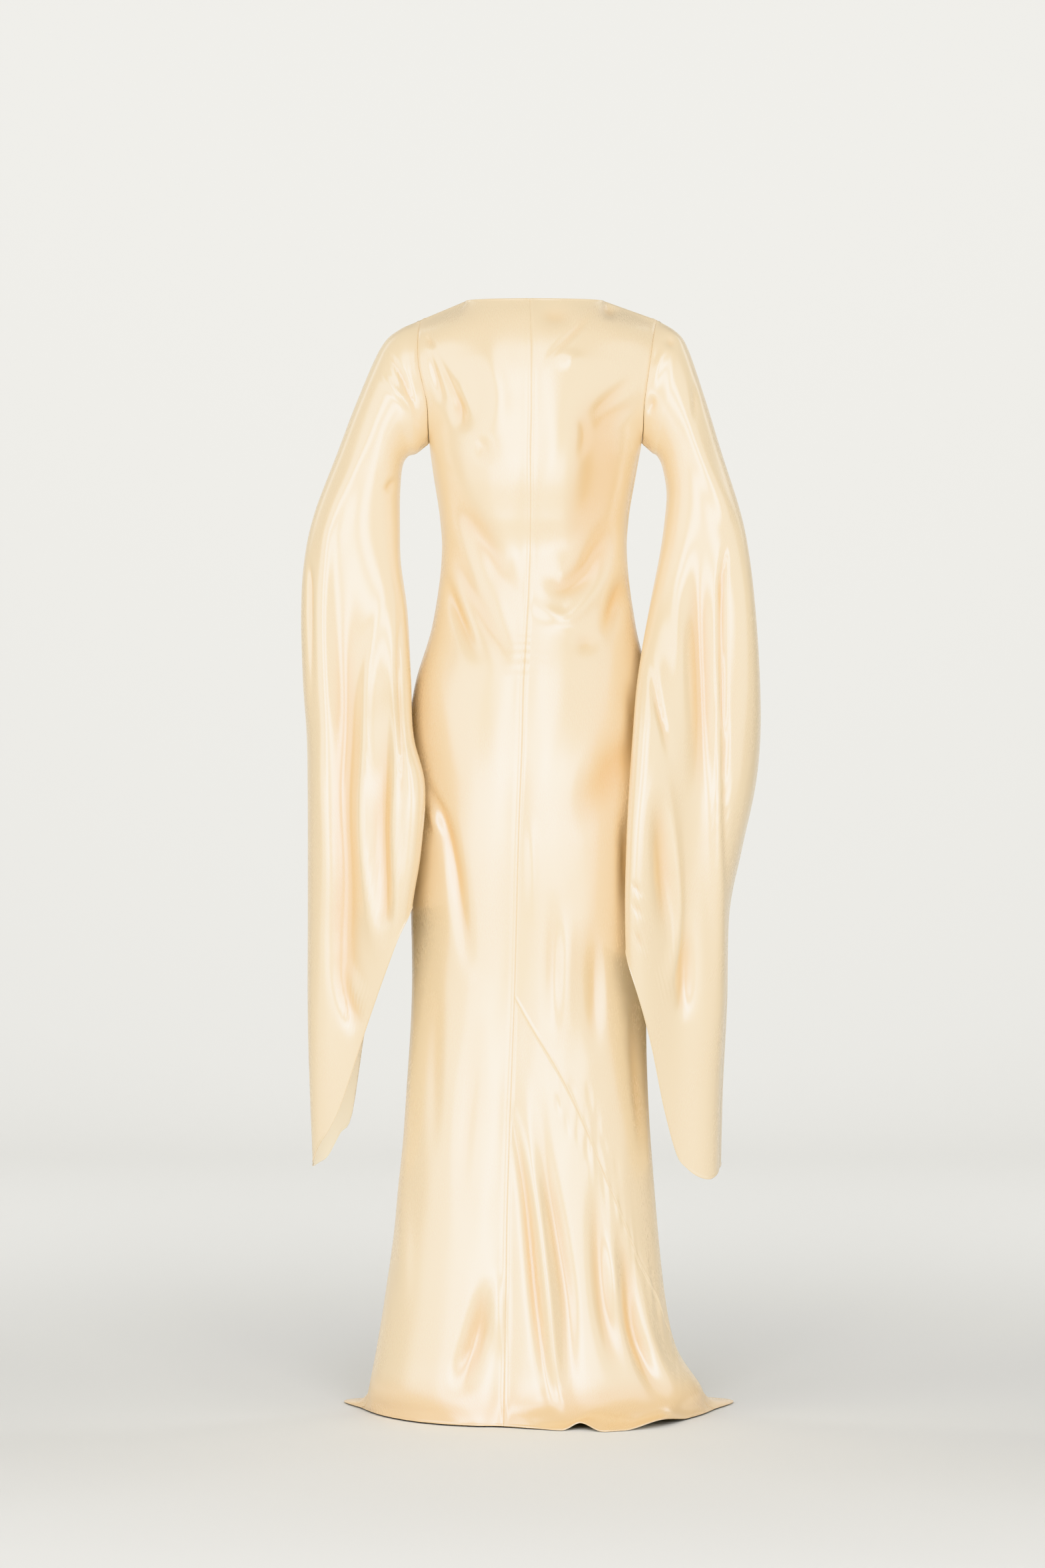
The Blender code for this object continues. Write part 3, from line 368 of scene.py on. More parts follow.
RIGHT_SLEEVE_CREASES = (
    # Cap
    Crease(((0.196, 1.486), (0.184, 1.462), (0.174, 1.440), (0.166, 1.400)), 0.006, 0.0025),
    Crease(((0.202, 1.492), (0.190, 1.474)), 0.007, -0.0030),
    Crease(((0.170, 1.412), (0.164, 1.382)), 0.005, -0.0035),
    Crease(((0.226, 1.440), (0.230, 1.400), (0.226, 1.372)), 0.005, -0.0018),
    # The long ridge and groove of the outer edge
    Crease(((0.199, 1.434), (0.236, 1.332), (0.268, 1.258), (0.275, 1.221)), 0.012, 0.0040),
    Crease(((0.273, 1.212), (0.269, 1.175), (0.267, 1.1285), (0.267, 0.9435), (0.269, 0.805),
            (0.270, 0.712)),
           0.0035, -0.0080),
    Crease(((0.262, 1.175), (0.259, 1.036), (0.259, 0.897), (0.262, 0.712), (0.264, 0.573), (0.259, 0.435)),
           0.009, 0.0050),
    # The broad hollow, then the ridge that turns under at the foot
    Crease(((0.234, 1.221), (0.236, 1.082), (0.238, 0.9435), (0.234, 0.805)), 0.014, -0.0070),
    Crease(((0.204, 1.175), (0.206, 1.036), (0.210, 0.943)), 0.012, 0.0030),
    Crease(((0.162, 1.064), (0.176, 0.990), (0.188, 0.9435), (0.194, 0.897)), 0.005, -0.0040),
    Crease(((0.190, 0.897), (0.201, 0.805), (0.206, 0.712), (0.205, 0.6475), (0.194, 0.601),
            (0.176, 0.578)),
           0.006, 0.0050),
    Crease(((0.180, 0.880), (0.185, 0.758), (0.188, 0.650)), 0.012, -0.0060),
    Crease(((0.213, 0.712), (0.215, 0.601), (0.210, 0.536)), 0.010, -0.0060),
    # The edge that stands out beside the skirt
    Crease(((0.142, 0.732), (0.156, 0.728)), 0.004, -0.0030),
    Crease(((0.142, 0.704), (0.158, 0.698)), 0.004, -0.0030),
    Crease(((0.144, 0.662), (0.160, 0.656)), 0.005, -0.0030),
)


@dataclass(frozen=True)
class Satin:
    """The finish of the cloth: its colours in linear light, with painted shade for creases and hem and a reverse
    partly lightened as painted light, and how it shines.
    """

    lit: tuple = (0.80, 0.635, 0.41, 1.0)
    # deep: painted shade, the darker gold that stands in for shade in creases and along the hem
    deep: tuple = (0.77, 0.51, 0.235, 1.0)
    # reverse: the reverse's own paler tone, lightened further as painted light for inner surfaces that get less
    # light
    reverse: tuple = (0.93, 0.85, 0.70, 1.0)
    roughness: float = 0.27
    specular: float = 1.0
    ior: float = 2.1
    thread_pitch: float = 0.0009
    thread_relief: float = 0.12


@dataclass(frozen=True)
class Studio:
    """The plain room: colours in linear light, and the lights' power in watts."""

    floor: tuple = (0.74, 0.73, 0.705, 1.0)
    world: tuple = (0.92, 0.94, 0.92, 1.0)
    world_strength: float = 0.40
    key_power: float = 76.0
    low_power: float = 20.0
    top_power: float = 34.0
    left_power: float = 46.0
    right_power: float = 24.0
    backdrop_power: float = 105.0


def unit(vectors: np.ndarray) -> np.ndarray:
    """Scales vectors to a length of 1.

    Args:
        vectors: an array whose last axis is x, y, z.

    Returns:
        The same directions with a length of 1.
    """
    return vectors / np.maximum(np.linalg.norm(vectors, axis=-1, keepdims=True), 1e-12)


def ease(value: np.ndarray) -> np.ndarray:
    """Makes a soft step.

    Args:
        value: numbers that are cut to 0 to 1.

    Returns:
        The eased numbers, flat at both ends.
    """
    value = np.clip(value, 0.0, 1.0)
    return value * value * (3 - 2 * value)


def through_rows(values: np.ndarray, t: np.ndarray) -> np.ndarray:
    """Reads smooth curves down a table of rows.

    Args:
        values: an array [row, point, axis].
        t: the row number at which each point is read; it may lie between rows.

    Returns:
        An array [point, axis].
    """
    last = len(values) - 1
    slope = np.empty_like(values)
    slope[1:-1] = (values[2:] - values[:-2]) / 2
    slope[0] = values[1] - values[0]
    slope[-1] = values[-1] - values[-2]
    t = np.clip(t, 0.0, last)
    row = np.minimum(t.astype(int), last - 1)
    u = (t - row)[:, None]
    point = np.arange(len(t))
    start = 2 * u**3 - 3 * u**2 + 1
    return (start * values[row, point] + (1 - start) * values[row + 1, point]
            + (u**3 - 2 * u**2 + u) * slope[row, point] + (u**3 - u**2) * slope[row + 1, point])


def smooth_line(at: np.ndarray, knots: np.ndarray, values: np.ndarray) -> np.ndarray:
    """Reads a smooth line through a table's column.

    Args:
        at: where to read.
        knots: the table's places, rising.
        values: the column's values there.

    Returns:
        The values at the places asked for.
    """
    slope = np.gradient(values, knots)
    k = np.clip(np.searchsorted(knots, at, side="right") - 1, 0, len(knots) - 2)
    span = knots[k + 1] - knots[k]
    u = np.clip((at - knots[k]) / span, 0.0, 1.0)
    start = 2 * u**3 - 3 * u**2 + 1
    return (start * values[k] + (1 - start) * values[k + 1]
            + (u**3 - 2 * u**2 + u) * span * slope[k] + (u**3 - u**2) * span * slope[k + 1])


@dataclass
class BodyForm:
    """The plain form of the gown's body, without creases."""

    neck_left: float = 0.088
    neck_right: float = 0.102
    neck_point_height: float = 1.543
    neck_point_depth: float = -0.004
    neck_back: tuple = (1.541, -0.052)
    neck_front: tuple = (1.500, 0.060)
    neck_share: float = 0.6
    shoulder_left: float = 0.151
    shoulder_right: float = 0.176
    shoulder_height: float = 1.517
    underarm_height: float = 1.346
    armhole_depth: float = 0.050
    sleeve_clearance: float = 0.010
    underarm: float = 5.0
    hem_rest: float = 0.0018

    @property
    def hem(self) -> float:
        """Gives the section number of the hem."""
        return len(GIRTHS) + 2.0

    def top_edge(self, side: Side, across: np.ndarray) -> np.ndarray:
        """Works out the neckline and the shoulder seam.

        Args:
            side: back or front.
            across: shares from -1 (left) to 1 (right).

        Returns:
            The points of the top edge.
        """
        right = across > 0
        neck = np.where(right, self.neck_right, -self.neck_left)
        shoulder = np.where(right, self.shoulder_right, -self.shoulder_left)
        height, depth = self.neck_back if side is Side.BACK else self.neck_front
        turn = np.minimum(np.abs(across) / self.neck_share, 1.0) * math.pi / 2
        along = np.clip((np.abs(across) - self.neck_share) / (1 - self.neck_share), 0.0, 1.0)
        x = neck * np.sin(turn) + (shoulder - neck) * along
        y = self.neck_point_depth * (1 - along) + (depth - self.neck_point_depth) * np.cos(turn)
        z = self.neck_point_height + (height - self.neck_point_height) * np.cos(turn)
        z = z + (self.shoulder_height - self.neck_point_height) * along
        return np.stack([x, y, z], axis=-1)

    def girth_row(self, side: Side, across: np.ndarray, girth: Girth) -> np.ndarray:
        """Works out one section through the body.

        Args:
            side: back or front.
            across: shares from -1 (left) to 1 (right).
            girth: the section's sizes.

        Returns:
            The section's points.
        """
        back = side is Side.BACK
        height = girth.back_height if back else girth.front_height
        centre = girth.back if back else girth.front
        seam = girth.seam if back else 0.0
        sweep = math.radians(girth.sweep)
        turn = np.abs(across) * sweep
        width = np.where(across > 0, girth.right, -girth.left)
        x = seam + (width - seam) * np.sin(turn) / math.sin(sweep)
        y = centre * (np.cos(turn) - math.cos(sweep)) / (1 - math.cos(sweep))
        z = height + (girth.side_height - height) * np.abs(across) ** 1.6
        return np.stack([x, y, z], axis=-1)

    def points(self, side: Side, across: np.ndarray, t: np.ndarray) -> np.ndarray:
        """Works out points of the body's cloth.

        Args:
            side: back or front.
            across: shares from -1 (left) to 1 (right).
            t: section numbers, from 0 at the neckline to the hem.

        Returns:
            The points, one for each pair of across and t.
        """
        rows = [self.top_edge(side, across)]
        rows += [self.girth_row(side, across, girth) for girth in GIRTHS]
        table = np.array(BACK_HEM if side is Side.BACK else FRONT_HEM)
        x, y, height, share, rest = (smooth_line(across, table[:, 0], table[:, k]) for k in range(1, 6))
        hem = np.stack([x, y, np.maximum(height, self.hem_rest)], axis=-1)
        landing = rows[-1] + (hem - rows[-1]) * share[:, None]
        landing[:, 2] = rest + (hem[:, 2] - self.hem_rest) * 0.6
        points = through_rows(np.array([*rows, landing, hem]), t)
        shares = [0.0, *(girth.armhole_share for girth in GIRTHS)]
        share = np.interp(t, np.arange(len(shares)), shares)
        depth = self.armhole_depth * np.sin(math.pi * share) * np.abs(across) ** 2.5
        points[:, 1] += side.value * depth
        return points

    def directions(self, side: Side, across: np.ndarray, t: np.ndarray) -> np.ndarray:
        """Works out the cloth's outward directions.

        Args:
            side: back or front.
            across: shares from -1 (left) to 1 (right).
            t: section numbers.

        Returns:
            One unit vector for each point.
        """
        step = 1e-4
        limit = np.where(t < self.underarm, 0.96, 1.0)
        near = np.clip(across, -limit, limit)
        over = (self.points(side, np.minimum(near + step, 1), t)
                - self.points(side, np.maximum(near - step, -1), t))
        down = (self.points(side, near, np.minimum(t + step, self.hem))
                - self.points(side, near, np.maximum(t - step, 0)))
        return unit(side.value * np.cross(over, down))

    def keep_clear(self, points: np.ndarray) -> np.ndarray:
        """Moves points level away from the body's axis until they clear its cloth.

        Args:
            points: points of another piece.

        Returns:
            The moved points.
        """
        values = np.array([girth[1:] for girth in GIRTHS])[::-1]
        left, right, back, front = (np.interp(points[:, 2], values[:, 1], values[:, k]) for k in (3, 4, 6, 7))
        wide = np.where(points[:, 0] > 0, right, left) + self.sleeve_clearance
        deep = np.where(points[:, 1] > 0, front, -back) + self.sleeve_clearance
        reach = np.hypot(points[:, 0] / wide, points[:, 1] / deep)
        below = ease((self.underarm_height - 0.02 - points[:, 2]) / 0.05)
        push = np.maximum(1 / np.maximum(reach, 0.3), 1.0) ** below
        moved = points.copy()
        moved[:, :2] *= push[:, None]
        return moved


@dataclass
class SleeveForm:
    """The plain form of one sleeve, without creases."""

    body: BodyForm
    hand: Hand
    rings: tuple
    mouth: tuple
    squareness: float = 1.2
    square_from: float = 1.25
    square_fade: float = 0.20

    def points(self, around: np.ndarray, share: np.ndarray) -> np.ndarray:
        """Works out points of the sleeve's cloth.

        Args:
            around: shares from 0 to 1, from the outer line by the back.
            share: shares from 0 at the armhole to 1 at the mouth.

        Returns:
            The points, one for each pair.
        """
        sign = self.hand.value
        behind = around <= 0.5
        t = self.body.underarm * np.where(behind, 2 * around, 2 - 2 * around)
        edge = np.full(len(around), float(sign))
        armhole = np.where(behind[:, None], self.body.points(Side.BACK, edge, t),
                           self.body.points(Side.FRONT, edge, t))
        turn = 2 * math.pi * around[:, None]
        stations = [armhole]
        for ring in self.rings:
            outer = np.array([sign * ring.outer, ring.outer_y, ring.outer_height])
            inner = np.array([sign * ring.inner, ring.inner_y, ring.inner_height])
            middle = (outer + inner) / 2
            back = np.array([sign * ring.back, ring.back_y, middle[2]]) - middle
            front = np.array([sign * ring.front, ring.front_y, middle[2]]) - middle
            power = 2 + self.squareness * ease((self.square_from - middle[2]) / self.square_fade)
            reach = (np.abs(np.cos(turn)) ** power + np.abs(np.sin(turn)) ** power) ** (-1 / power)
            stations.append(middle + reach * (outer - inner) / 2 * np.cos(turn)
                            + reach * (back - front) / 2 * np.sin(turn)
                            + (back + front) / 2 * np.sin(turn) ** 2)
        heights = np.array([ring.outer_height for ring in self.rings])[::-1]
        table = np.array(self.mouth)
        edge_height = smooth_line(around, table[:, 0], table[:, 1])
        end = np.interp(edge_height, heights, np.arange(len(self.rings), 0, -1.0))
        return self.body.keep_clear(through_rows(np.array(stations), end * share))

    def directions(self, around: np.ndarray, share: np.ndarray) -> np.ndarray:
        """Works out the cloth's outward directions.

        Args:
            around: shares round the sleeve.
            share: shares down it.

        Returns:
            One unit vector for each point.
        """
        step = 1e-4
        over = self.points((around + step) % 1, share) - self.points((around - step) % 1, share)
        down = (self.points(around, np.minimum(share + step, 1))
                - self.points(around, np.maximum(share - step, 0)))
        return unit(self.hand.value * np.cross(over, down))


@dataclass
class Drape:
    """Lifts cloth along its outward directions: the drawn creases, and a soft unevenness."""

    creases: Sequence[Crease]
    side: Side
    seed: int
    eye_distance: float = 6.0
    eye_height: float = 0.873
    wander: float = 0.0012
    unevenness: float = 0.0003
    strength: float = 1.35
    start_fade: float = 0.45
    start_lift: float = 0.05
    end_fade: float = 0.50

    def lift(self, points: np.ndarray) -> np.ndarray:
        """Adds up all creases.

        Args:
            points: the cloth's points, with heights above the floor.

        Returns:
            How far each point is lifted, in metres.
        """
        rng = np.random.default_rng(self.seed)
        near = self.eye_distance / (self.eye_distance + self.side.value * -points[:, 1])
        height = self.eye_height + (points[:, 2] - self.eye_height) * near
        flat = np.stack([points[:, 0] * near, height], axis=-1)
        moved = flat.copy()
        for _ in range(4):
            wave = rng.uniform(8, 30, 2)
            phase = rng.uniform(0, 2 * math.pi, 2)
            moved[:, 0] += self.wander / 2 * np.sin(flat[:, 1] * wave[0] + flat[:, 0] * wave[1] + phase[0])
            moved[:, 1] += self.wander * np.sin(flat[:, 0] * wave[0] - flat[:, 1] * wave[1] / 2 + phase[1])
        total = np.zeros(len(points))
        for crease in self.creases:
            total += self.strength * self.one(moved, crease)
        for _ in range(14):
            along = rng.uniform(4, 16)
            side = rng.uniform(40, 190)
            phase = rng.uniform(0, 2 * math.pi)
            tilt = rng.uniform(-0.25, 0.25)
            wave = (np.sin((flat[:, 0] + tilt * flat[:, 1]) * side + phase)
                    * np.sin(flat[:, 1] * along + phase * 2))
            total += self.unevenness / 3.2 * wave * (70 / side) ** 0.6
        return total

    def one(self, flat: np.ndarray, crease: Crease) -> np.ndarray:
        """Works out one crease.

        Args:
            flat: (x, height) of each point.
            crease: the crease.

        Returns:
            Its lift at each point.
        """
        path = np.array(crease.path)
        knots = np.arange(len(path), dtype=float)
        fine = np.linspace(0, len(path) - 1, 6 * (len(path) - 1) + 1)
        path = np.stack([smooth_line(fine, knots, path[:, k]) for k in (0, 1)], axis=-1)
        end_width = crease.end_width or crease.width
        reach = 3 * max(crease.width, end_width)
        near = np.all((flat > path.min(axis=0) - reach) & (flat < path.max(axis=0) + reach), axis=1)
        here = flat[near]
        lift = np.zeros(len(flat))
        if not len(here):
            return lift
        best = np.full(len(here), np.inf)
        along = np.zeros(len(here))
        for k in range(len(path) - 1):
            run = path[k + 1] - path[k]
            away = here - path[k]
            u = np.clip(away @ run / (run @ run), 0, 1)
            gap = away - u[:, None] * run
            distance = np.hypot(gap[:, 0], gap[:, 1])
            closer = distance < best
            best = np.where(closer, distance, best)
            along = np.where(closer, (k + u) / (len(path) - 1), along)
        width = crease.width + (end_width - crease.width) * along
        taper = ease(along / self.start_fade + self.start_lift) * ease((1 - along) / self.end_fade)
        lift[near] = crease.depth * taper * np.exp(-((best / width) ** 2))
        return lift


@dataclass
class ClothPiece:
    """One panel of cloth as a fine closed shell that stands for its solid."""

    name: str
    points: np.ndarray
    out: np.ndarray
    # Painted shade mask: how much of the deep gold each point takes
    painted_shade: np.ndarray
    tube: bool = False
    thickness: float = 0.0009

    def build(self, materials: Sequence[bpy.types.Material]) -> bpy.types.Object:
        """Makes the mesh, its measures and its materials.

        Args:
            materials: the face of the cloth, then its reverse.

        Returns:
            The finished object.
        """
        rows, columns = self.points.shape[:2]
        outer = self.points - np.array([0.0, 0.0, SHOULDER_HEIGHT])
        inner = outer - self.out * self.thickness
        bm = bmesh.new()
        bmesh.ops.create_grid(bm, x_segments=columns - 1, y_segments=rows - 1, size=1.0)
        place = bm.verts.layers.int.new("place")
        flat_outer = outer.reshape(-1, 3)
        flat_inner = inner.reshape(-1, 3)
        for index, vert in enumerate(bm.verts):
            vert[place] = index
            vert.co = flat_outer[index]
        if self.tube:
            bm.verts.ensure_lookup_table()
            weld = {bm.verts[row * columns + columns - 1]: bm.verts[row * columns] for row in range(rows)}
            bmesh.ops.weld_verts(bm, targetmap=weld)
        made = bmesh.ops.extrude_face_region(bm, geom=bm.faces[:], use_keep_orig=True)
        for item in made["geom"]:
            if isinstance(item, bmesh.types.BMVert):
                item.co = flat_inner[item[place]]
            elif isinstance(item, bmesh.types.BMFace):
                item.material_index = 1
        bmesh.ops.recalc_face_normals(bm, faces=bm.faces[:])
        mesh = bpy.data.meshes.new(self.name)
        bm.to_mesh(mesh)
        bm.free()
        self.measure(mesh, rows, columns)
        mesh.shade_smooth()
        for material in materials:
            mesh.materials.append(material)
        piece = bpy.data.objects.new(self.name, mesh)
        bpy.context.scene.collection.objects.link(piece)
        return piece

    def measure(self, mesh: bpy.types.Mesh, rows: int, columns: int) -> None:
        """Writes on the mesh the cloth's flat map in metres, and the mask of painted shade for its creases and
        hem.

        Args:
            mesh: the new mesh.
            rows: rows of the grid.
            columns: columns of the grid.
        """
        place = np.empty(len(mesh.vertices), dtype=np.int32)
        mesh.attributes["place"].data.foreach_get("value", place)
        step_down = np.linalg.norm(np.diff(self.points, axis=0), axis=-1)
        step_over = np.linalg.norm(np.diff(self.points, axis=1), axis=-1)
        v = np.zeros((rows, columns))
        v[1:] = np.cumsum(step_down, axis=0)
        u = np.zeros((rows, columns))
        u[:, 1:] = np.cumsum(step_over, axis=1)
        u -= u[:, columns // 2][:, None]
        loops = np.empty(len(mesh.loops), dtype=np.int32)
        mesh.loops.foreach_get("vertex_index", loops)
        flat = np.stack([u.ravel(), -v.ravel()], axis=-1)[place][loops]
        layer = mesh.uv_layers.new(name="cloth")
        layer.uv.foreach_set("vector", flat.ravel().astype(np.float32))
        # Painted shade: stores the mask that darkens creases and the hem
        depth = mesh.attributes.new("painted_shade", "FLOAT", "POINT")
        depth.data.foreach_set("value", self.painted_shade.ravel()[place].astype(np.float32))


class Shade:
    """Wraps one shader socket, so that node maths reads as ordinary maths."""

    def __init__(self, tree: bpy.types.NodeTree, socket: bpy.types.NodeSocket) -> None:
        """Keeps the tree and the socket."""
        self.tree = tree
        self.socket = socket

    @classmethod
    def node(cls, tree: bpy.types.NodeTree, kind: str, settings: Optional[dict] = None,
             sockets: Optional[dict] = None, output: int = 0) -> "Shade":
        """Adds one node.

        Args:
            tree: the node tree.
            kind: the node's type name.
            settings: its own settings by name.
            sockets: its inputs by name or number, as values or other shades.
            output: which output to wrap.

        Returns:
            The wrapped output.
        """
        made = tree.nodes.new(kind)
        for key, value in (settings or {}).items():
            setattr(made, key, value)
        for key, value in (sockets or {}).items():
            if isinstance(value, Shade):
                tree.links.new(value.socket, made.inputs[key])
            else:
                made.inputs[key].default_value = value
        return cls(tree, made.outputs[output])

    def maths(self, operation: str, *others: object) -> "Shade":
        """Adds a Math node.

        Args:
            operation: the node's operation.
            others: the further inputs.

        Returns:
            The result.
        """
        inputs = {0: self, **{k + 1: other for k, other in enumerate(others)}}
        return Shade.node(self.tree, "ShaderNodeMath", {"operation": operation}, inputs)

    def __add__(self, other: object) -> "Shade":
        """Adds."""
        return self.maths("ADD", other)

    __radd__ = __add__

    def __mul__(self, other: object) -> "Shade":
        """Multiplies."""
        return self.maths("MULTIPLY", other)

    def __sub__(self, other: object) -> "Shade":
        """Takes away."""
        return self.maths("SUBTRACT", other)

    def clamp(self) -> "Shade":
        """Cuts to 0 to 1."""
        return Shade.node(self.tree, "ShaderNodeClamp", {}, {0: self})


@dataclass
class SatinBuilder:
    """Makes the two materials of the cloth."""

    finish: Satin

    def face(self, name: str) -> bpy.types.Material:
        """Makes the lustrous face of the satin, with painted shade mixed into its colour in creases and along
        the hem.

        Args:
            name: the material's name.

        Returns:
            The material.
        """
        finish = self.finish
        material, tree, shader = self.start(name)
        cloth = Shade.node(tree, "ShaderNodeUVMap", {"uv_map": "cloth"})
        # Painted shade: the mask of creases and hem, shifted at random by noise, mixes the deep gold into the
        # base colour
        depth = Shade.node(tree, "ShaderNodeAttribute", {"attribute_name": "painted_shade"}, output=2)
        cloud = Shade.node(tree, "ShaderNodeTexNoise", {}, {"Vector": cloth, "Scale": 9.0, "Detail": 2.0})
        mix = (depth + (cloud - 0.5) * 0.16).clamp()
        colour = Shade.node(tree, "ShaderNodeMix", {"data_type": "RGBA"},
                            {0: mix, 6: finish.lit, 7: finish.deep}, output=2)
        threads = self.threads(tree, cloth)
        bump = Shade.node(tree, "ShaderNodeBump", {},
                          {"Strength": finish.thread_relief, "Distance": 0.00006, "Height": threads})
        rough = finish.roughness + (cloud - 0.5) * 0.05 + (threads - 0.5) * 0.03
        tree.links.new(colour.socket, shader.inputs["Base Color"])
        tree.links.new(rough.socket, shader.inputs["Roughness"])
        tree.links.new(bump.socket, shader.inputs["Normal"])
        shader.inputs["Specular IOR Level"].default_value = finish.specular
        shader.inputs["IOR"].default_value = finish.ior
        return material

    def back(self, name: str) -> bpy.types.Material:
        """Makes the duller reverse of the satin, its colour partly lightened as painted light.

        Args:
            name: the material's name.

        Returns:
            The material.
        """
        material, tree, shader = self.start(name)
        cloth = Shade.node(tree, "ShaderNodeUVMap", {"uv_map": "cloth"})
        threads = self.threads(tree, cloth)
        bump = Shade.node(tree, "ShaderNodeBump", {},
                          {"Strength": 0.3, "Distance": 0.0001, "Height": threads})
        rough = 0.62 + (threads - 0.5) * 0.06
        tree.links.new(bump.socket, shader.inputs["Normal"])
        tree.links.new(rough.socket, shader.inputs["Roughness"])
        shader.inputs["Base Color"].default_value = self.finish.reverse
        shader.inputs["Sheen Weight"].default_value = 0.2
        return material

    def threads(self, tree: bpy.types.NodeTree, cloth: Shade) -> Shade:
        """Makes the long floats of the satin weave, on the bias.

        Args:
            tree: the node tree.
            cloth: the cloth's flat map in metres.

        Returns:
            The weave's height, from 0 to 1.
        """
        turned = Shade.node(tree, "ShaderNodeMapping", {},
                            {"Vector": cloth, "Rotation": (0.0, 0.0, math.radians(45)),
                             "Scale": (1 / self.finish.thread_pitch, 0.09 / self.finish.thread_pitch, 1.0)})
        return Shade.node(tree, "ShaderNodeTexNoise", {}, {"Vector": turned, "Scale": 1.0, "Detail": 2.0})

    @staticmethod
    def start(name: str) -> tuple:
        """Starts a material.

        Args:
            name: its name.

        Returns:
            The material, its node tree and its Principled shader.
        """
        material = bpy.data.materials.new(name)
        material.use_nodes = True
        return material, material.node_tree, material.node_tree.nodes["Principled BSDF"]


@dataclass(frozen=True)
class EdgeForm:
    """How cloth dips into a seam, swells beside it, and rolls over at a free edge, in metres."""

    seam_dip: float = 0.0003
    seam_width: float = 0.0011
    swell: float = 0.0004
    swell_place: float = 0.0045
    swell_width: float = 0.0020
    roll: float = 0.0006
    roll_place: float = 0.0016
    roll_width: float = 0.0017
    roll_thickness: float = 1.6
    shoulder_from: float = 0.6


@dataclass(frozen=True)
class Puckers:
    """The fine gathers along the slanted seam and at the centre seam, in metres."""

    pitch: float = 0.0112
    height: float = 0.0011
    reach_above: float = 0.030
    reach_below: float = 0.045
    least_reach: float = 0.006
    centre_pitch: float = 0.012
    centre_height: float = 0.0007
    centre_width: float = 0.011
    centre_top: float = 1.10
    centre_foot: float = 0.99
    fade: float = 0.05

    def lift(self, points: np.ndarray) -> np.ndarray:
        """Gathers the cloth along the slanted seam and the centre seam.

        Args:
            points: points of the back.

        Returns:
            Their lift in metres.
        """
        x, height = points[:, 0], points[:, 2]
        girths = np.array([girth[1:] for girth in GIRTHS])[::-1]
        seam = np.interp(height, girths[:, 1], girths[:, 9])
        width = np.interp(height, girths[:, 1], girths[:, 4])
        table = np.array(BIAS_SEAM)
        seam_x = []
        for share, seam_height in BIAS_SEAM:
            centre = np.interp(seam_height, girths[:, 1], girths[:, 9])
            side = np.interp(seam_height, girths[:, 1], girths[:, 4])
            seam_x.append(centre + (side - centre) * math.sin(share * math.pi / 2))
        above = height - np.interp(x, seam_x, table[:, 1])
        strength = ease(x / self.fade) * (0.35 + 0.65 * ease((x - 0.05) / 0.06)) * (x > -0.02)
        reach = np.where(above > 0, self.reach_above, self.reach_below) * (0.7 + 0.5 * np.sin(x * 310 + 1.0))
        phase = (x + 0.10 * height) * 2 * math.pi / self.pitch + 1.4 * np.sin(x * 97) + 0.8 * np.sin(x * 211 + 2)
        fall = np.exp(-np.abs(above) / np.maximum(reach * 0.62, self.least_reach))
        gather = self.height * strength * np.sin(phase) * fall
        middle = (np.exp(-(np.abs(x - seam) / self.centre_width)) * ease((self.centre_top - height) / self.fade)
                  * ease((height - self.centre_foot) / self.fade))
        ripple = np.sin(height * 2 * math.pi / self.centre_pitch + 2 * np.sin(height * 70))
        gather += self.centre_height * middle * ripple
        return gather * (x < width)


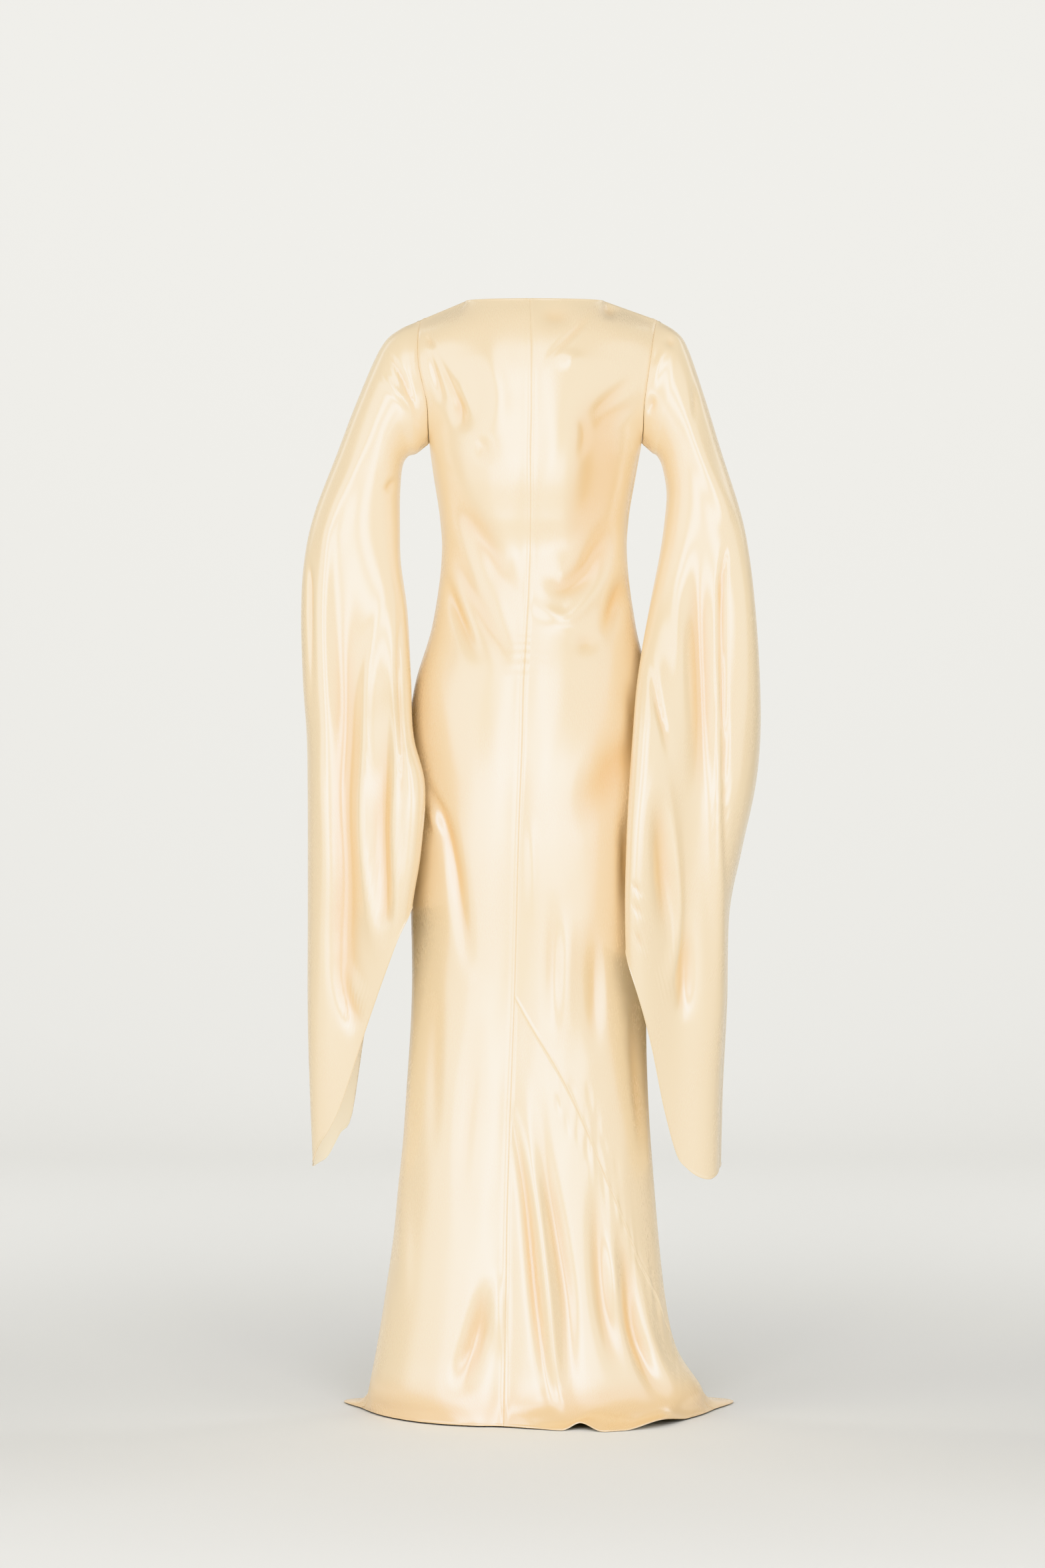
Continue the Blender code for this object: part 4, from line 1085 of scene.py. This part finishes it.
@dataclass
class Gown:
    """The whole gown."""

    finish: Satin
    pitch: float = 0.0036
    body_columns: int = 66
    front_columns: int = 112
    sleeve_columns: int = 108
    edge_steps: tuple = (0.0012, 0.0028, 0.0050)
    edge: EdgeForm = EdgeForm()
    gather_lean: float = 0.003
    gather_width: float = 0.0030
    gather_depth: float = -0.0008
    side_calm: float = 0.05
    neck_calm: float = 0.3
    hem_calm: float = 0.8
    # Painted shade: a crease this deep takes the full deep gold
    painted_shade_depth: float = 0.010
    # Painted shade along the hem: how much deep gold the band takes, the height it fades out at, and how soft
    hem_painted_shade: float = 0.7
    hem_painted_shade_height: float = 0.07
    hem_painted_shade_fade: float = 0.05

    def __post_init__(self) -> None:
        """Makes the plain forms and the materials."""
        self.body = BodyForm()
        builder = SatinBuilder(self.finish)
        self.materials = [builder.face("satin_face"), builder.back("satin_reverse")]

    def rows_by_length(self, fine: np.ndarray, points: np.ndarray, count: int) -> np.ndarray:
        """Spreads rows evenly down the cloth, with a few more at both ends.

        Args:
            fine: close places between 0 and 1.
            points: the cloth's points at those places.
            count: how many even rows.

        Returns:
            The rows' places between 0 and 1.
        """
        length = np.concatenate([[0.0], np.cumsum(np.linalg.norm(np.diff(points, axis=0), axis=1))])
        wanted = np.linspace(0, length[-1], count)
        ends = np.array(self.edge_steps)
        wanted = np.unique(np.concatenate([wanted, ends, length[-1] - ends]))
        return np.interp(wanted, length, fine)

    def shares(self, low: float, high: float, count: int, width: float) -> np.ndarray:
        """Spreads columns evenly between two seams, with a few more beside each.

        Args:
            low: the share at the left seam.
            high: the share at the right seam.
            count: how many even columns.
            width: the cloth's width there in metres.

        Returns:
            The columns' shares.
        """
        ends = np.array(self.edge_steps) / width * (high - low)
        even = np.linspace(low, high, count)
        return np.unique(np.concatenate([even, low + ends, high - ends]))

    def body_piece(self, name: str, side: Side, across: np.ndarray, t: np.ndarray,
                   seams: Sequence[str]) -> bpy.types.Object:
        """Makes one panel of the body.

        Args:
            name: the piece's name.
            side: back or front.
            across: the grid's shares across the body.
            t: the grid's section numbers.
            seams: which edges of the grid are sewn.

        Returns:
            The piece.
        """
        shape = across.shape
        flat_across = across.ravel()
        flat_t = t.ravel()
        plain = self.body.points(side, flat_across, flat_t)
        out = self.body.directions(side, flat_across, flat_t)
        creases = FRONT_CREASES
        if side is Side.BACK:
            gathers = tuple(
                Crease(((x, top), (x + self.gather_lean, foot)), self.gather_width, self.gather_depth)
                for x, top, foot in GATHERS)
            creases = BACK_CREASES + gathers
        lift = Drape(creases, side, 11 if side is Side.BACK else 12).lift(plain)
        if side is Side.BACK:
            lift += Puckers().lift(plain)
        calm = (ease((1 - np.abs(flat_across)) / self.side_calm) * ease(flat_t / self.neck_calm)
                * ease((self.body.hem - flat_t) / self.hem_calm))
        lift = (lift * calm).reshape(shape)
        # Painted shade: creases take the deep gold by their depth, and a band along the hem near the floor takes
        # it too
        low = ease((self.hem_painted_shade_height - plain[:, 2]) / self.hem_painted_shade_fade).reshape(shape)
        painted_shade = ease(-lift / self.painted_shade_depth) + self.hem_painted_shade * low
        dip, thick = self.edges(plain.reshape(*shape, 3), flat_across.reshape(shape), seams)
        points = plain.reshape(*shape, 3) + out.reshape(*shape, 3) * (lift - dip)[..., None]
        piece = ClothPiece(name, points, out.reshape(*shape, 3) * thick[..., None], painted_shade)
        return piece.build(self.materials)

    def edges(self, points: np.ndarray, across: np.ndarray, seams: Sequence[str]) -> tuple:
        """Works out how a panel's edges dip into seams or roll over at free edges.

        Args:
            points: the panel's grid of points.
            across: the grid's shares across.
            seams: which edges of the grid are sewn.

        Returns:
            The dip of each point in metres, and how many times thicker the cloth is there.
        """
        rows, columns = points.shape[:2]
        down = np.zeros((rows, columns))
        down[1:] = np.cumsum(np.linalg.norm(np.diff(points, axis=0), axis=-1), axis=0)
        over = np.zeros((rows, columns))
        over[:, 1:] = np.cumsum(np.linalg.norm(np.diff(points, axis=1), axis=-1), axis=1)
        distance = {
            "top": down, "bottom": down[-1] - down, "left": over, "right": over[:, -1:] - over,
        }
        form = self.edge
        dip = np.zeros((rows, columns))
        thick = np.ones((rows, columns))
        for edge, away in distance.items():
            if edge in seams:
                beside = np.exp(-(((away - form.swell_place) / form.swell_width) ** 2)) * form.swell
                sewn = np.exp(-((away / form.seam_width) ** 2)) * form.seam_dip - beside
                if edge == "top":
                    sewn = sewn * (np.abs(across) > form.shoulder_from)
                dip = np.where(np.abs(sewn) > np.abs(dip), sewn, dip)
            if edge not in seams or edge == "top":
                curve = np.clip(1 - ((away - form.roll_place) / form.roll_width) ** 2, 0, 1)
                roll = np.sqrt(curve) * form.roll
                if edge == "top" and edge in seams:
                    roll = roll * (np.abs(across) <= form.shoulder_from)
                dip = dip - roll
                thick = thick + form.roll_thickness * roll / form.roll
        return dip, thick

    def build_body(self) -> list:
        """Makes the front and the three back panels.

        Returns:
            The name of each node, with the piece that stands for it.
        """
        hem = self.body.hem
        fine = np.linspace(0, 1, 1500)
        half = np.full(len(fine), 0.5)
        rows = self.rows_by_length(fine, self.body.points(Side.BACK, half, fine * hem),
                                   round(1.60 / self.pitch))
        front_rows = self.rows_by_length(fine, self.body.points(Side.FRONT, half, fine * hem),
                                         round(1.40 / self.pitch))
        pieces = []
        across, t = np.meshgrid(self.shares(-1, 1, self.front_columns, 0.40), front_rows * hem)
        sewn = ("top", "left", "right")
        pieces.append(("front", self.body_piece("front_panel", Side.FRONT, across, t, sewn)))
        LOG.info("front panel")
        across, t = np.meshgrid(self.shares(-1, 0, self.body_columns, 0.22), rows * hem)
        pieces.append(("back_left", self.body_piece("left_back_panel", Side.BACK, across, t, sewn)))
        LOG.info("left back panel")
        right = self.shares(0, 1, self.body_columns, 0.22)
        places = np.linspace(0, 1, len(rows))
        ends = self.ends(round(1.25 / self.pitch))
        share = self.seam_share(right, rows)
        upper = np.stack([np.interp(ends * end, places, rows) for end in share], axis=1) * hem
        across = np.broadcast_to(right, upper.shape)
        pieces.append(("back_right", self.body_piece("right_back_panel", Side.BACK, across, upper,
                                                     (*sewn, "bottom"))))
        LOG.info("right back panel")
        wide = self.shares(0, 1, self.body_columns + 34, 0.30)
        ends = self.ends(round(0.50 / self.pitch))
        share = self.seam_share(wide, rows)
        lower = np.stack([np.interp(end + ends * (1 - end), places, rows) for end in share], axis=1) * hem
        across = np.broadcast_to(wide, lower.shape)
        pieces.append(("back_lower", self.body_piece("lower_back_panel", Side.BACK, across, lower,
                                                     ("top_seam", "left", "right"))))
        LOG.info("lower back panel")
        return pieces

    def seam_share(self, across: np.ndarray, rows: np.ndarray) -> np.ndarray:
        """Finds where the slanted seam crosses each column of the right back.

        Args:
            across: the columns' shares across the back.
            rows: the back's rows, as places between 0 and 1.

        Returns:
            The seam's share of the rows in each column.
        """
        table = np.array(BIAS_SEAM)
        first = int(self.body.underarm) - 1
        heights = np.array([girth.side_height for girth in GIRTHS[first:]])[::-1]
        seam_height = smooth_line(across, table[:, 0], table[:, 1])
        foot = np.interp(seam_height, heights, np.arange(len(GIRTHS), first, -1.0))
        return np.interp(foot / self.body.hem, rows, np.linspace(0, 1, len(rows)))

    def ends(self, count: int) -> np.ndarray:
        """Spreads places from 0 to 1 with a few more at both ends.

        Args:
            count: how many even places.

        Returns:
            The places.
        """
        close = np.array(self.edge_steps) / (count * self.pitch)
        return np.unique(np.concatenate([np.linspace(0, 1, count), close, 1 - close]))

    def build_sleeve(self, hand: Hand) -> bpy.types.Object:
        """Makes one sleeve.

        Args:
            hand: which sleeve.

        Returns:
            The piece.
        """
        left = hand is Hand.LEFT
        rings, mouth = (LEFT_RINGS, LEFT_MOUTH) if left else (RIGHT_RINGS, RIGHT_MOUTH)
        form = SleeveForm(self.body, hand, rings, mouth)
        fine = np.linspace(0, 1, 1500)
        rows = self.rows_by_length(fine, form.points(np.full(len(fine), 0.2), fine), round(1.10 / self.pitch))
        columns = np.linspace(0, 1, self.sleeve_columns + 1)
        around, share = np.meshgrid(columns, rows)
        shape = around.shape
        around, share = around.ravel(), share.ravel()
        plain = form.points(around, share)
        out = form.directions(around, share)
        behind = np.sin(2 * math.pi * around)
        creases = LEFT_SLEEVE_CREASES if left else RIGHT_SLEEVE_CREASES
        lift = Drape(creases, Side.BACK, 21 if left else 22).lift(plain) * ease(np.abs(behind) / 0.30)
        lift = lift * np.where(behind > 0, 1.0, 0.6) * ease(share / 0.03)
        lift = lift.reshape(shape)
        # Painted shade: the sleeve's creases take the deep gold by their depth
        painted_shade = ease(-lift / self.painted_shade_depth)
        plain = plain.reshape(*shape, 3)
        dip, thick = self.edges(plain, np.ones(shape), ("top", "left", "right"))
        points = plain + out.reshape(*shape, 3) * (lift - dip)[..., None]
        name = "left_sleeve" if left else "right_sleeve"
        points[:, -1] = points[:, 0]
        piece = ClothPiece(name, points, out.reshape(*shape, 3) * thick[..., None], painted_shade, tube=True)
        LOG.info("%s", name)
        return piece.build(self.materials)

    def build(self) -> None:
        """Makes every piece and ties it to its node."""
        pieces = self.build_body()
        pieces.append(("sleeve_left", self.build_sleeve(Hand.LEFT)))
        pieces.append(("sleeve_right", self.build_sleeve(Hand.RIGHT)))
        for node, piece in pieces:
            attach(piece, "root")
            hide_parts(node)


@dataclass
class Room:
    """Floor, lights and camera."""

    look: Studio
    camera_x: float = -0.010
    camera_distance: float = 6.0
    camera_height: float = 0.873
    lens: float = 99.3

    def build(self) -> None:
        """Makes the room."""
        self.floor()
        self.world()
        look = self.look
        floor = -SHOULDER_HEIGHT
        middle = (0.0, 0.0, floor + 0.85)
        wall = (0.0, 6.0, floor + 2.5)
        for side, hand in (("left", -1), ("right", 1)):
            side_power = look.left_power if hand < 0 else look.right_power
            self.light(f"key_{side}", (hand * 1.10, -4.4, floor + 2.0), middle, (1.2, 3.6), look.key_power)
            self.light(f"low_{side}", (hand * 1.60, -3.4, floor + 0.45), middle, (2.0, 0.8), look.low_power)
            self.light(f"side_{side}", (hand * 3.0, -2.2, floor + 1.8), middle, (2.6, 3.4), side_power)
            self.light(f"wall_{side}", (hand * 2.8, 1.8, floor + 3.4), wall, (2.0, 2.6), look.backdrop_power)
        self.light("top", (0.0, -3.2, floor + 4.2), middle, (2.8, 1.6), look.top_power)
        self.camera()

    def floor(self) -> None:
        """Makes one sheet that is the floor and curves up behind as the backdrop."""
        bm = bmesh.new()
        bmesh.ops.create_grid(bm, x_segments=24, y_segments=95, size=1.0)
        radius = 1.8
        run = 4.2
        for vert in bm.verts:
            x = vert.co.x * 9.0
            s = (vert.co.y + 1) / 2 * 19.0 - 8.0
            if s < run:
                y, z = s, 0.0
            elif s < run + radius * math.pi / 2:
                angle = (s - run) / radius
                y, z = run + radius * math.sin(angle), radius * (1 - math.cos(angle))
            else:
                y, z = run + radius, radius + s - run - radius * math.pi / 2
            vert.co = (x, y, z - SHOULDER_HEIGHT - 0.0004)
        mesh = bpy.data.meshes.new("floor")
        bm.to_mesh(mesh)
        bm.free()
        mesh.shade_smooth()
        material, tree, shader = SatinBuilder.start("paper")
        cloud = Shade.node(tree, "ShaderNodeTexNoise", {}, {"Scale": 1.4, "Detail": 2.0})
        rough = 0.82 + (cloud - 0.5) * 0.06
        tree.links.new(rough.socket, shader.inputs["Roughness"])
        shader.inputs["Base Color"].default_value = self.look.floor
        mesh.materials.append(material)
        floor = bpy.data.objects.new("floor", mesh)
        bpy.context.scene.collection.objects.link(floor)

    def world(self) -> None:
        """Sets a plain pale surrounding."""
        world = bpy.data.worlds.new("room")
        world.use_nodes = True
        background = world.node_tree.nodes["Background"]
        background.inputs["Color"].default_value = self.look.world
        background.inputs["Strength"].default_value = self.look.world_strength
        bpy.context.scene.world = world

    @staticmethod
    def light(name: str, place: tuple, towards: tuple, size: tuple, power: float) -> None:
        """Adds one soft light.

        Args:
            name: its name.
            place: where it is.
            towards: the point that it faces.
            size: its width and height in metres.
            power: its power in watts.
        """
        data = bpy.data.lights.new(name, "AREA")
        data.shape = "RECTANGLE"
        data.size, data.size_y = size
        data.energy = power
        light = bpy.data.objects.new(name, data)
        light.location = place
        aim = Vector(towards) - Vector(place)
        light.rotation_euler = aim.to_track_quat("-Z", "Y").to_euler()
        bpy.context.scene.collection.objects.link(light)

    def camera(self) -> None:
        """Adds the camera, level and square to the back of the gown."""
        data = bpy.data.cameras.new("camera")
        data.lens = self.lens
        data.sensor_fit = "VERTICAL"
        data.sensor_height = 36.0
        camera = bpy.data.objects.new("camera", data)
        camera.location = (self.camera_x, -self.camera_distance, self.camera_height - SHOULDER_HEIGHT)
        camera.rotation_euler = (math.pi / 2, 0.0, 0.0)
        bpy.context.scene.collection.objects.link(camera)
        bpy.context.scene.camera = camera


def main() -> None:
    """Builds the scene in order."""
    logging.basicConfig(level=logging.INFO, format="%(name)s: %(message)s")
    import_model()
    bpy.context.scene.view_settings.view_transform = "Khronos PBR Neutral"
    Gown(Satin()).build()
    Room(Studio()).build()
    LOG.info("done")


if __name__ == "__main__":
    main()
